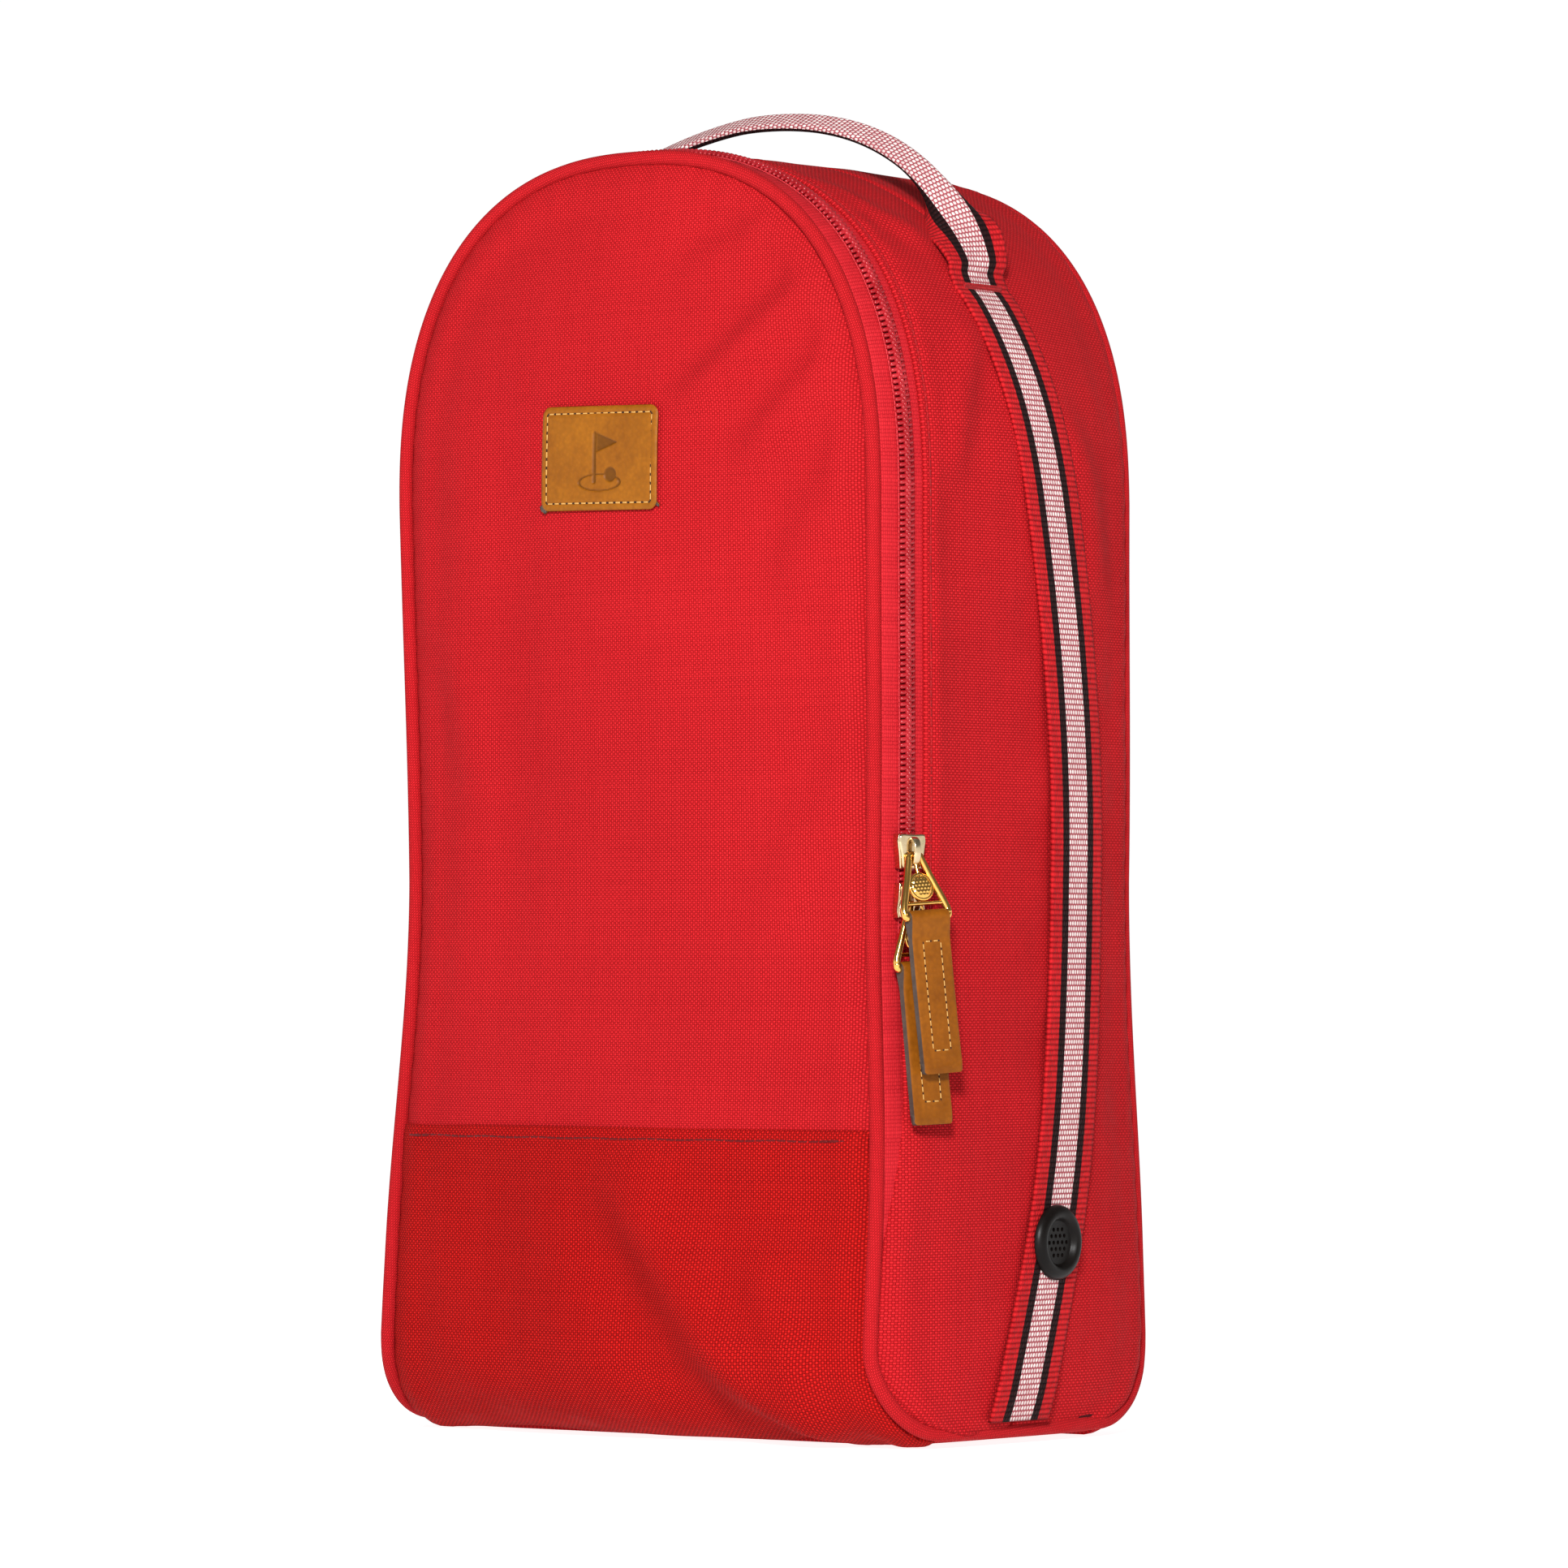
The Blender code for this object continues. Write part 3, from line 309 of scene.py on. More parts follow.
def striped_webbing():
    """Webbing by u, the distance from its middle line: pale pink centre, black lines, red edges."""
    look = Look("striped_webbing", 0.68, Sheen_Weight=0.01, Sheen_Roughness=0.4, Specular_IOR_Level=0.05)
    u, v, _ = look.uv()
    side = look.math("ABSOLUTE", u)
    pink_half, black_half, rib, bead_width = 0.0046, 0.0077, 0.00156, 0.00118
    beyond_pink = look.math("GREATER_THAN", side, pink_half)
    black = look.math("MULTIPLY", beyond_pink, look.math("LESS_THAN", side, black_half))
    edge = look.math("GREATER_THAN", side, black_half)
    row = look.math("FLOOR", look.math("DIVIDE", v, rib))
    shift = look.math("MULTIPLY", look.math("MODULO", look.math("ABSOLUTE", row), 2.0), 0.5)
    bead_at = look.math("ADD", look.math("DIVIDE", u, bead_width), shift)
    bead = look.math("SINE", look.math("MULTIPLY", look.math("FRACT", bead_at), math.pi))
    ridge = look.math("SINE", look.math("MULTIPLY", look.math("FRACT", look.math("DIVIDE", v, rib)), math.pi))
    cell = look.chance(look.math("FLOOR", bead_at), row)
    bead_high = look.math("MULTIPLY", look.math("POWER", bead, 0.7), look.math("POWER", ridge, 0.6))
    # painted highlight on the beads' crowns; the pink between them is partly the webbing's own colour and
    # partly painted shade
    bead_crown_light = look.span(bead_high, 0.35, 0.8, smooth=True)
    bead_colour = look.mix(cell, linear((200, 176, 174)), linear((224, 214, 210)))
    pale = look.mix(bead_crown_light, linear((158, 76, 84)), bead_colour)
    # painted shade: the red edges and the black lines are coloured darker between their ribs
    red_tone = look.math("MULTIPLY_ADD", cell, 0.3, look.math("MULTIPLY", ridge, 0.7))
    red = look.mix(red_tone, linear((108, 8, 13)), linear((190, 31, 36)))
    dark = look.mix(ridge, linear((12, 5, 6)), linear((38, 18, 19)))
    colour = look.mix(edge, look.mix(black, pale, dark), red)
    soiled = look.shaded(colour, look.span(look.noise(22.0), 0.3, 0.7, 0.94, 1.04))
    rough = look.span(cell, 0.0, 1.0, 0.52, 0.72)
    high = look.math("MULTIPLY_ADD", bead_high, 0.6, look.math("MULTIPLY", ridge, 0.6))
    return look.finish(soiled, rough, look.bump(high, 0.00030, 1.0))


def leather(name, dark, light, roughness=0.46, grain=900.0, pressed=False):
    """Smooth leather. pressed darkens it where the mesh says that it is stamped."""
    look = Look(name, roughness, Specular_IOR_Level=0.14)
    cells = look.nodes.new("ShaderNodeTexVoronoi")
    cells.feature = "SMOOTH_F1"
    cells.inputs["Scale"].default_value = grain
    look.links.new(look.place(), cells.inputs["Vector"])
    pores = look.span(cells.outputs["Distance"], 0.1, 0.75, smooth=True)
    broad = look.noise(55.0, 4.0, roughness=0.6)
    fine = look.noise(420.0, 3.0)
    tone = look.math("MULTIPLY_ADD", broad, 0.7, look.math("MULTIPLY", fine, 0.3))
    colour = look.ramp(tone, (0.30, linear(dark)), (0.68, linear(light)))
    colour = look.mix(look.math("MULTIPLY", pores, 0.18), colour, linear(tuple(c * 0.55 for c in dark)))
    if pressed:
        stamp = look.nodes.new("ShaderNodeAttribute")
        stamp.attribute_name = "pressed"
        stamped = look.math("MULTIPLY", stamp.outputs["Fac"], 0.62)
        colour = look.mix(stamped, colour, linear(tuple(c * 0.5 for c in dark)))
    rough = look.span(broad, 0.3, 0.7, roughness - 0.08, roughness + 0.12)
    return look.finish(colour, rough, look.bump(pores, 0.00012, 0.35, look.bump(fine, 0.0002, 0.25)))


def metal(name, colour, roughness):
    look = Look(name, roughness, 1.0, Specular_IOR_Level=0.5)
    worn = look.noise(240.0, 4.0)
    fine = look.noise(1800.0, 2.0)
    shade = look.mix(look.span(worn, 0.35, 0.7), linear(colour), linear(tuple(c * 0.86 for c in colour)))
    rough = look.span(worn, 0.3, 0.7, roughness, roughness + 0.1)
    return look.finish(shade, rough, look.bump(fine, 0.00002, 0.3))


def plastic(name, colour, light, roughness, coat=0.0, specular=0.3):
    look = Look(name, roughness, Coat_Weight=coat, Coat_Roughness=0.12, Specular_IOR_Level=specular)
    worn = look.noise(130.0, 4.0)
    fine = look.noise(1500.0, 2.0)
    shade = look.mix(look.span(worn, 0.4, 0.75), linear(colour), linear(light))
    rough = look.span(worn, 0.3, 0.7, roughness - 0.06, roughness + 0.12)
    return look.finish(shade, rough, look.bump(fine, 0.00004, 0.4))


def thread_look(name, dark, light):
    look = Look(name, 0.6, Sheen_Weight=0.04, Specular_IOR_Level=0.15)
    wave = look.nodes.new("ShaderNodeTexWave")
    wave.inputs["Scale"].default_value = 900.0
    wave.inputs["Distortion"].default_value = 1.5
    look.links.new(look.place(), wave.inputs["Vector"])
    # painted shade in the grooves of the thread's twist, where the bump is low
    colour = look.mix(wave.outputs["Fac"], linear(dark), linear(light))
    rough = look.span(look.noise(700.0), 0.3, 0.7, 0.45, 0.65)
    return look.finish(colour, rough, look.bump(wave.outputs["Fac"], 0.00008, 0.6))


# For the woven, ribbed and thread looks the first colour is the painted shade between the threads and the
# second the lit colour of their crowns.
RED = woven("red_fabric", (112, 6, 10), (205, 36, 42), 0.00074, contrast=0.5)
MELANGE = woven("red_melange_fabric", (88, 3, 5), (200, 28, 25), 0.00078, 0.8, 0.00022, contrast=0.56)
PIPING = woven("red_piping", (123, 9, 14), (202, 36, 42), 0.00058, 0.68, 0.00014, turn=math.radians(45))
LINING = woven("dark_lining", (40, 8, 10), (92, 22, 26), 0.0005, 0.6, 0.00010)
TAPE = ribbed("red_zip_tape", (134, 12, 20), (192, 36, 44))
COIL = plastic("red_zip_coil", (141, 14, 23), (170, 32, 41), 0.3, 0.12)
WEBBING = striped_webbing()
DARK_THREAD = thread_look("dark_red_thread", (62, 2, 4), (108, 8, 11))
RED_THREAD = thread_look("red_thread", (109, 7, 12), (167, 24, 29))
TAN_THREAD = thread_look("tan_thread", (165, 118, 52), (206, 164, 99))
ZIP_THREAD = thread_look("zip_sewing_thread", (150, 20, 30), (214, 62, 70))
TAN = leather("tan_leather", (110, 58, 4), (135, 76, 9))
PRESSED = leather("pressed_tan_leather", (120, 66, 6), (147, 88, 14), pressed=True)
PAINTED = leather("painted_leather_edge", (58, 48, 44), (84, 72, 66), 0.5, 1400.0)
# painted shade: dark flecks at the stitch holes stand in for the shade inside them
HOLE_SHADE = plastic("stitch_hole_shade", (46, 24, 8), (60, 34, 14), 0.8)
BLACK = plastic("black_plastic", (10, 7, 6), (17, 13, 11), 0.34, 0.0, 0.14)
GOLD = metal("gold_plate", (246, 190, 100), 0.12)
CHROME = metal("pale_gold_metal", (222, 200, 160), 0.13)
BINDING = woven("binding_tape", (44, 12, 14), (92, 26, 30), 0.0007, 0.75)
FLOOR = plastic("floor_paper", (196, 196, 196), (190, 190, 190), 0.9)
FLOOR_SHADER = FLOOR.node_tree.nodes["Principled BSDF"]
FLOOR_SHADER.inputs["Emission Color"].default_value = (1, 1, 1, 1)
FLOOR_SHADER.inputs["Emission Strength"].default_value = 0.90


# ---------------------------------------------------------------- the outline and the gusset surface


def half_width(z):
    z = np.asarray(z, float)
    turn = np.pi * np.clip(z - FOOT_Z, 0, None) / (WAIST_Z - FOOT_Z)
    low = HALF_WIDTH_FOOT + (HALF_WIDTH_WAIST - HALF_WIDTH_FOOT) * (1 - np.cos(turn)) / 2
    low = low - TUCK * np.clip(1 - z / TUCK_Z, 0, None) ** 2
    high = HALF_WIDTH_WAIST + (HALF_WIDTH_ARCH - HALF_WIDTH_WAIST) * (z - WAIST_Z) / (ARCH_Z - WAIST_Z)
    return np.where(z < WAIST_Z, low, high)


def superellipse(angle, power):
    c, s = np.abs(np.cos(angle)), np.abs(np.sin(angle))
    r = (c**power + s**power) ** (-1 / power)
    return r * c, r * s


def lengths(path):
    """Distance along a path at each of its points."""
    return np.concatenate([[0], np.cumsum(np.linalg.norm(np.diff(path, axis=0), axis=1))])


def right_half():
    z = np.linspace(0, ARCH_Z, 900)
    across, up = superellipse(np.linspace(0, np.pi / 2, 700)[1:], ARCH_POWER)
    arch = np.stack([HALF_WIDTH_ARCH * across, ARCH_Z + (HEIGHT - ARCH_Z) * up], -1)
    points = np.concatenate([np.stack([half_width(z), z], -1), arch])
    points[-1, 0] = 0.0
    return points


RIGHT = right_half()
RIGHT_S = lengths(RIGHT)
APEX_S = RIGHT_S[-1]


def outline_point(s):
    s = np.asarray(s, float)
    side = np.where(s <= APEX_S, 1.0, -1.0)
    along = np.where(s <= APEX_S, s, 2 * APEX_S - s)
    x, z = (np.interp(along, RIGHT_S, RIGHT[:, k]) for k in (0, 1))
    return np.stack([side * x, z], -1)


def outline_normal(s):
    step = 0.0015
    s = np.clip(s, step, 2 * APEX_S - step)
    way = outline_point(s + step) - outline_point(s - step)
    normal = np.stack([way[..., 1], -way[..., 0]], -1)
    return normal / np.linalg.norm(normal, axis=-1, keepdims=True)


def s_at(z, left=False):
    along = np.interp(z, RIGHT[:, 1], RIGHT_S)
    return 2 * APEX_S - along if left else along


def depth_y(d, z):
    bow = BOW * np.exp(-(((z - BOW_Z) / BOW_REACH) ** 2))
    return (d - DEPTH / 2) * (1 + SWELL * np.exp(-((z / SWELL_Z) ** 2))) + bow


def bulge(s, d):
    return BULGE * outline_normal(s)[..., 0] ** 2 * (1 - np.abs(2 * d / DEPTH - 1) ** BULGE_POWER)


def skin(s, d, lift=0.0):
    """Points of the gusset's outer surface at (s, d), raised by lift along its normal."""
    s, d, lift = np.broadcast_arrays(np.asarray(s, float), np.asarray(d, float), np.asarray(lift, float))
    normal = outline_normal(s)
    slope = (bulge(s, d + 0.0005) - bulge(s, d - 0.0005)) / 0.001
    flat = outline_point(s) + normal * bulge(s, d)[..., None]
    tilted = np.stack([normal[..., 0], -slope, normal[..., 1]], -1) / np.sqrt(1 + slope**2)[..., None]
    base = np.stack([flat[..., 0], depth_y(d, outline_point(s)[..., 1]), flat[..., 1]], -1)
    return base + lift[..., None] * tilted


def skin_normal(s, d):
    """Direction out of the gusset at (s, d), 1 mm long."""
    return skin(s, d, 0.001) - skin(s, d, 0.0)


def skin_frame(s, d, lift=0.0):
    """Place on the gusset with Z up the outline and -Y outwards. X is to the rear on the right side."""
    across = Vector(skin(s, d + 0.001) - skin(s, d - 0.001)).normalized()
    along = Vector(skin(s + 0.001, d) - skin(s - 0.001, d)).normalized()
    if s > APEX_S:
        across, along = -across, -along
    inward = along.cross(across).normalized()
    made = Matrix((across, inward, across.cross(inward))).transposed().to_4x4()
    made.translation = Vector(skin(s, d, lift))
    return made


def corner_d(z, inset):
    below = np.clip(EDGE_Z + CORNER_R - z, 0, None)
    return CORNER_R - np.sqrt(np.clip((CORNER_R - inset) ** 2 - below**2, 0, None))


def roundness(x, z):
    up = np.clip((z - ARCH_Z) / (HEIGHT - ARCH_Z), 0, None)
    above = (np.abs(x / HALF_WIDTH_ARCH) ** ARCH_POWER + up**ARCH_POWER) ** (1 / ARCH_POWER)
    return np.where(z > ARCH_Z, above, np.abs(x) / half_width(np.minimum(z, ARCH_Z)))


def crown(x, z):
    fade = CROWN_FOOT + (1 - CROWN_FOOT) * np.sin(np.pi / 2 * np.clip(z / CROWN_FADE_Z, 0, 1))
    return fade * (1 - np.clip(roundness(x, z), 0, 1) ** CROWN_POWER)


def front_y(x, z):
    return depth_y(PANEL_RECESS - CROWN_FRONT * crown(x, z), z)


def back_y(x, z):
    return depth_y(DEPTH - PANEL_RECESS + CROWN_BACK * crown(x, z), z)


def seam_d(s):
    z = outline_point(s)[..., 1]
    low = WEB_D_FOOT + (WEB_D_MIDDLE - WEB_D_FOOT) * np.sin(np.pi / 2 * np.clip(z / WEB_MIDDLE_Z, 0, 1))
    share = np.clip((z - WEB_MIDDLE_Z) / (TACK_Z - WEB_MIDDLE_Z), 0, 1)
    return np.where(z < WEB_MIDDLE_Z, low, WEB_D_MIDDLE - (WEB_D_MIDDLE - WEB_D_TOP) * share**2)


def ease(t):
    t = np.clip(t, 0, 1)
    return t * t * (3 - 2 * t)


# ---------------------------------------------------------------- building blocks


def grid_faces(rows, columns, closed=()):
    """Quads between the points of a grid. It may close on itself along its "rows", its "columns" or both."""
    index = np.arange(rows * columns).reshape(rows, columns)
    if "rows" in closed:
        index = np.concatenate([index, index[:1]])
    if "columns" in closed:
        index = np.concatenate([index, index[:, :1]], axis=1)
    return np.stack([index[:-1, :-1], index[:-1, 1:], index[1:, 1:], index[1:, :-1]], -1).reshape(-1, 4)


def surface(name, points, uv, look, inner=None, thickness=0.0, centre=(0, 0, 0.18), weld=True):
    """A sheet through a grid of points, facing away from centre, with a layer of thickness inside it."""
    points = np.asarray(points, float)
    quads = grid_faces(*points.shape[:2])
    flat = points.reshape(-1, 3)
    normals = np.cross(flat[quads[:, 2]] - flat[quads[:, 0]], flat[quads[:, 3]] - flat[quads[:, 1]])
    if np.sum(normals * (flat[quads].mean(axis=1) - np.array(centre))) < 0:
        quads = quads[:, ::-1]
    mesh = bpy.data.meshes.new(name)
    mesh.from_pydata(flat.tolist(), [], quads.tolist())
    corners = np.asarray(uv, float).reshape(-1, 2)[quads.reshape(-1)]
    mesh.uv_layers.new(name="UVMap").data.foreach_set("uv", corners.astype(np.float32).reshape(-1))
    if weld:
        work = bmesh.new()
        work.from_mesh(mesh)
        bmesh.ops.remove_doubles(work, verts=work.verts, dist=1e-5)
        bmesh.ops.dissolve_degenerate(work, edges=work.edges, dist=1e-6)
        work.to_mesh(mesh)
        work.free()
    obj = linked(name, mesh, look)
    if thickness:
        if inner:
            mesh.materials.append(inner)
        solid = obj.modifiers.new("thickness", "SOLIDIFY")
        solid.thickness = thickness
        solid.offset = -1
        solid.material_offset = 1 if inner else 0
        applied(obj)
    return obj


def linked(name, mesh, *looks, smooth=True):
    obj = bpy.data.objects.new(name, mesh)
    bpy.context.scene.collection.objects.link(obj)
    for look in looks:
        mesh.materials.append(look)
    if not mesh.uv_layers:
        mesh.uv_layers.new(name="UVMap")
    if smooth:
        mesh.shade_smooth()
    return obj


def faceted(name, points, faces, look, weld=0.0):
    """A piece from lists of points and faces, whose faces are turned outwards."""
    mesh = bpy.data.meshes.new(name)
    mesh.from_pydata(points, [], faces)
    work = bmesh.new()
    work.from_mesh(mesh)
    if weld:
        bmesh.ops.remove_doubles(work, verts=work.verts, dist=weld)
    bmesh.ops.recalc_face_normals(work, faces=work.faces)
    work.to_mesh(mesh)
    work.free()
    return linked(name, mesh, look)


def saved(name, work, look):
    """A piece from a bmesh, which is freed."""
    mesh = bpy.data.meshes.new(name)
    work.to_mesh(mesh)
    work.free()
    return linked(name, mesh, look)


def applied(obj):
    """Replaces obj's mesh by the one that its modifiers make."""
    bpy.context.view_layer.update()
    made = bpy.data.meshes.new_from_object(obj.evaluated_get(bpy.context.evaluated_depsgraph_get()))
    obj.modifiers.clear()
    obj.data = made
    return obj


def smoothed(obj, angle):
    obj.data.shade_smooth()
    obj.data.set_sharp_from_angle(angle=math.radians(angle))
    return obj


def tube(name, path, radius, look, sides):
    """A round rod along a path. Its UVs are metres round and along it."""
    path = np.asarray(path, float)
    way = np.gradient(path, axis=0)
    way /= np.linalg.norm(way, axis=1, keepdims=True)
    inward = np.array([0, 0, 0.17]) - path
    inward[:, 1] *= 0.35
    first = inward - way * np.sum(inward * way, axis=1, keepdims=True)
    upright_runs = np.linalg.norm(first, axis=1) < 1e-6
    first[upright_runs] = np.cross(way[upright_runs], (0, 1, 0))
    first /= np.linalg.norm(first, axis=1, keepdims=True)
    second = np.cross(way, first)
    turns = np.linspace(0, 2 * np.pi, sides + 1)
    around = turns[None, :, None]
    points = path[:, None] + radius * (np.cos(around) * first[:, None] + np.sin(around) * second[:, None])
    uv = np.stack(np.broadcast_arrays(turns[None, :] * radius, lengths(path)[:, None]), -1)
    obj = surface(name, points, uv, look, centre=points.reshape(-1, 3).mean(axis=0), weld=False)
    outward_check(obj, path)
    return obj


def outward_check(obj, path):
    """Turns a tube's faces outwards."""
    mesh = obj.data
    face = mesh.polygons[len(mesh.polygons) // 2]
    nearest = min(path, key=lambda p: (face.center - Vector(p)).length)
    if face.normal.dot(face.center - Vector(nearest)) < 0:
        mesh.flip_normals()


def capsule(sides):
    """A unit capsule along X: vertices, whose fourth number is how far they are into a cap, and faces."""
    points, faces = [(-1.0, 0, 0, -1.0)], []
    stations = [(-1, -0.7), (-1, 0.0), (1, 0.0), (1, 0.7)]
    for end, cap in stations:
        size = math.sqrt(1 - cap * cap)
        for k in range(sides):
            turn = 2 * math.pi * k / sides
            points.append((float(end), size * math.cos(turn), size * math.sin(turn), cap))
    points.append((1.0, 0, 0, 1.0))
    count = len(stations)
    for k in range(sides):
        after = (k + 1) % sides
        faces.append((0, 1 + after, 1 + k))
        for r in range(count - 1):
            a, b = 1 + r * sides, 1 + (r + 1) * sides
            faces.append((a + k, a + after, b + after))
            faces.append((a + k, b + after, b + k))
        last = 1 + (count - 1) * sides
        faces.append((last + k, last + after, len(points) - 1))
    return np.array(points), np.array(faces)


def capsules(name, centres, directions, normals, half_length, radius, look, arch=0.0, flatten=1.0, sides=6):
    """One mesh of many capsules. arch lifts their middles along the normal."""
    template, faces = capsule(sides)
    centres, directions, normals = (np.asarray(a, float) for a in (centres, directions, normals))
    directions = directions / np.linalg.norm(directions, axis=1, keepdims=True)
    across = np.cross(directions, normals)
    across /= np.linalg.norm(across, axis=1, keepdims=True)
    up = np.cross(across, directions)
    half = np.broadcast_to(half_length, len(centres))[:, None, None]
    along = template[None, :, 0:1] * half + template[None, :, 3:4] * radius
    drop = -arch * np.abs(template[None, :, 0:1])
    sideways = template[None, :, 1:2] * radius
    points = centres[:, None] + directions[:, None] * along + across[:, None] * sideways
    points = points + up[:, None] * (template[None, :, 2:3] * radius * flatten + drop)
    every = (faces[None] + (np.arange(len(centres)) * len(template))[:, None, None]).reshape(-1, 3)
    return faceted(name, points.reshape(-1, 3).tolist(), every.tolist(), look)


def spaced(path, pitch, margin=0.0):
    """Middles of equal steps along a path, and the path's direction there."""
    path = np.asarray(path, float)
    length = lengths(path)
    count = max(1, int((length[-1] - 2 * margin) / pitch))
    at = margin + (np.arange(count) + 0.5) * (length[-1] - 2 * margin) / count
    place, ahead, behind = (
        np.stack([np.interp(at + shift, length, path[:, k]) for k in range(3)], -1)
        for shift in (0, 0.0004, -0.0004)
    )
    return place, ahead - behind


def spaced_corners(corners, pitch, margin):
    """The same for a line of straight runs in X-Z, spaced out run by run."""
    corners = [(x, 0, z) for x, z in corners]
    runs = [spaced(run, pitch, margin) for run in zip(corners, corners[1:])]
    return [np.concatenate(part) for part in zip(*runs)]


def stitches(name, path, normals, look, pitch, share, radius):
    """A row of stitches along a path on cloth with these normals."""
    centres, ways = spaced(path, pitch)
    nearest = np.argmin(np.linalg.norm(centres[:, None] - np.asarray(path)[None], axis=-1), axis=1)
    up = np.asarray(normals)[nearest]
    return capsules(name, centres, ways, up, pitch * share / 2, radius, look, arch=radius * 0.8)


def ripple(u, v, seed, size, height):
    """Gentle unevenness of soft cloth."""
    random = np.random.RandomState(seed)
    total = 0.0
    for _ in range(7):
        angle, phase = random.uniform(0, np.pi), random.uniform(0, 2 * np.pi)
        wave = size * random.uniform(0.6, 1.8)
        total = total + np.sin((u * np.cos(angle) + v * np.sin(angle)) * 2 * np.pi / wave + phase)
    return height * total / 2.6


def fold(u, v, path, width, height, side=0.6):
    """A soft crease along a path: a ridge with a hollow beside it, dying away at both ends."""
    best = np.full(np.shape(u), 1.0)
    signed = np.zeros(np.shape(u))
    reach = np.zeros(np.shape(u))
    for k, ((au, av), (bu, bv)) in enumerate(zip(path, path[1:])):
        du, dv = bu - au, bv - av
        long = math.hypot(du, dv)
        t = np.clip(((u - au) * du + (v - av) * dv) / long**2, 0, 1)
        away = np.hypot(u - au - t * du, v - av - t * dv)
        turn = ((u - au) * dv - (v - av) * du) / long
        nearer = away < best
        best = np.where(nearer, away, best)
        signed = np.where(nearer, np.where(turn < 0, -away, away), signed)
        reach = np.where(nearer, (k + t) / (len(path) - 1), reach)
    ridge = np.exp(-((signed / width) ** 2))
    hollow = np.exp(-(((signed - side * 2 * width) / width) ** 2))
    return height * (ridge - 0.6 * hollow) * ease(reach * 3.3) * ease((1 - reach) * 3.3)


# ---------------------------------------------------------------- what moves each piece


def ride(obj, body, slot, *nodes):
    """obj moves with a body, and stands for these CAD nodes."""
    if nodes:
        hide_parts(*nodes)
    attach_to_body(obj, body)
    return obj


def stay(obj, slot, *nodes):
    return ride(obj, "body", slot, *nodes)


def bend_with_flap(obj, slot, *nodes):
    """Hides these CAD nodes and bakes obj's transform into its mesh."""
    if nodes:
        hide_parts(*nodes)
    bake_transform(obj)
    return obj


# ---------------------------------------------------------------- front, back and base panels

NEAR_EDGE = [  # columns of a panel's grid, by distance from its sewn edge
    0, 0.0005, 0.0011, 0.0018, 0.0026, 0.0036, 0.0048, 0.0062, 0.0078, 0.0096, 0.0118, 0.0145, 0.0175,
]
PANEL_SPAN = 0.0845
COLUMNS = 1 - np.array([*NEAR_EDGE, *np.linspace(0.0205, PANEL_SPAN, 22)]) / PANEL_SPAN
COLUMNS = np.concatenate([COLUMNS, -COLUMNS[-2::-1]])


def edge_shape(e, s):
    """How far a panel stands out, at e from its sewn edge: a groove by the piping, then the seam's ridge."""
    groove = -0.0016 * np.exp(-((e / 0.0020) ** 1.5))
    ridge = 0.00055 * np.exp(-(((e - 0.0075) / 0.0034) ** 2))
    dip = -0.00035 * np.exp(-(((e - 0.0145) / 0.0040) ** 2))
    pucker = 0.00016 * np.sin(s * 2 * np.pi / 0.0093) * np.exp(-((e / 0.011) ** 2))
    return groove + ridge + dip + pucker


def spokes(s):
    """Places across a panel for each s: x, z and the distance from the sewn edge."""
    s = np.asarray(s)[:, None]
    rim = outline_point(s) - EDGE_INSET * outline_normal(s)
    spine = np.minimum(outline_point(s)[..., 1], ARCH_Z)
    share = COLUMNS[None, :]
    x = rim[..., 0] * share
    z = spine + (rim[..., 1] - spine) * np.abs(share)
    e = (1 - np.abs(share)) * np.hypot(rim[..., 0], rim[..., 1] - spine)
    return x, z, e


def upright(s, far, wrinkles):
    """A standing part of the front or back panel: points, and flat coordinates."""
    x, z, e = spokes(s)
    out = edge_shape(e, np.asarray(s)[:, None] + 0 * e) + wrinkles(x, z) * ease(e / 0.014)
    y = back_y(x, z) + out if far else front_y(x, z) - out
    return np.stack([x, y, z], -1), np.stack([x, z], -1)


def side_reach(z, d):
    """Half width of a wrapped panel's edge at height z, d behind the front."""
    s = s_at(z)
    normal = outline_normal(s)[..., 0]
    return outline_point(s)[..., 0] + bulge(s, np.minimum(d, DEPTH - d)) * normal - EDGE_INSET * normal


def wrapped(turns, far, wrinkles):
    """A lower corner, from under the bag to upright, and its flat coordinates."""
    middle = EDGE_Z + CORNER_R
    height = CROWN_BACK if far else CROWN_FRONT
    turn = np.asarray(turns)[:, None]
    z = middle * (1 - np.cos(turn))
    edge_z = np.maximum(z, EDGE_Z)
    x = side_reach(edge_z, CORNER_R * (1 - np.sin(turn))) * COLUMNS[None, :]
    e = (1 - np.abs(COLUMNS[None, :])) * PANEL_SPAN + 0 * x
    v = middle - CORNER_R * (np.pi / 2 - turn) + 0 * x
    out = edge_shape(e, v) + wrinkles(x, v) * ease(e / 0.014)
    reach = CORNER_R - PANEL_RECESS + height * crown(x, middle)
    d = CORNER_R - (reach + out) * np.sin(turn)
    z = z - out * np.cos(turn) + 0 * x
    y = depth_y(DEPTH - d if far else d, np.clip(z, 0, None))
    return np.stack([x, y, np.maximum(z, 0.0)], -1), np.stack([x, v], -1)


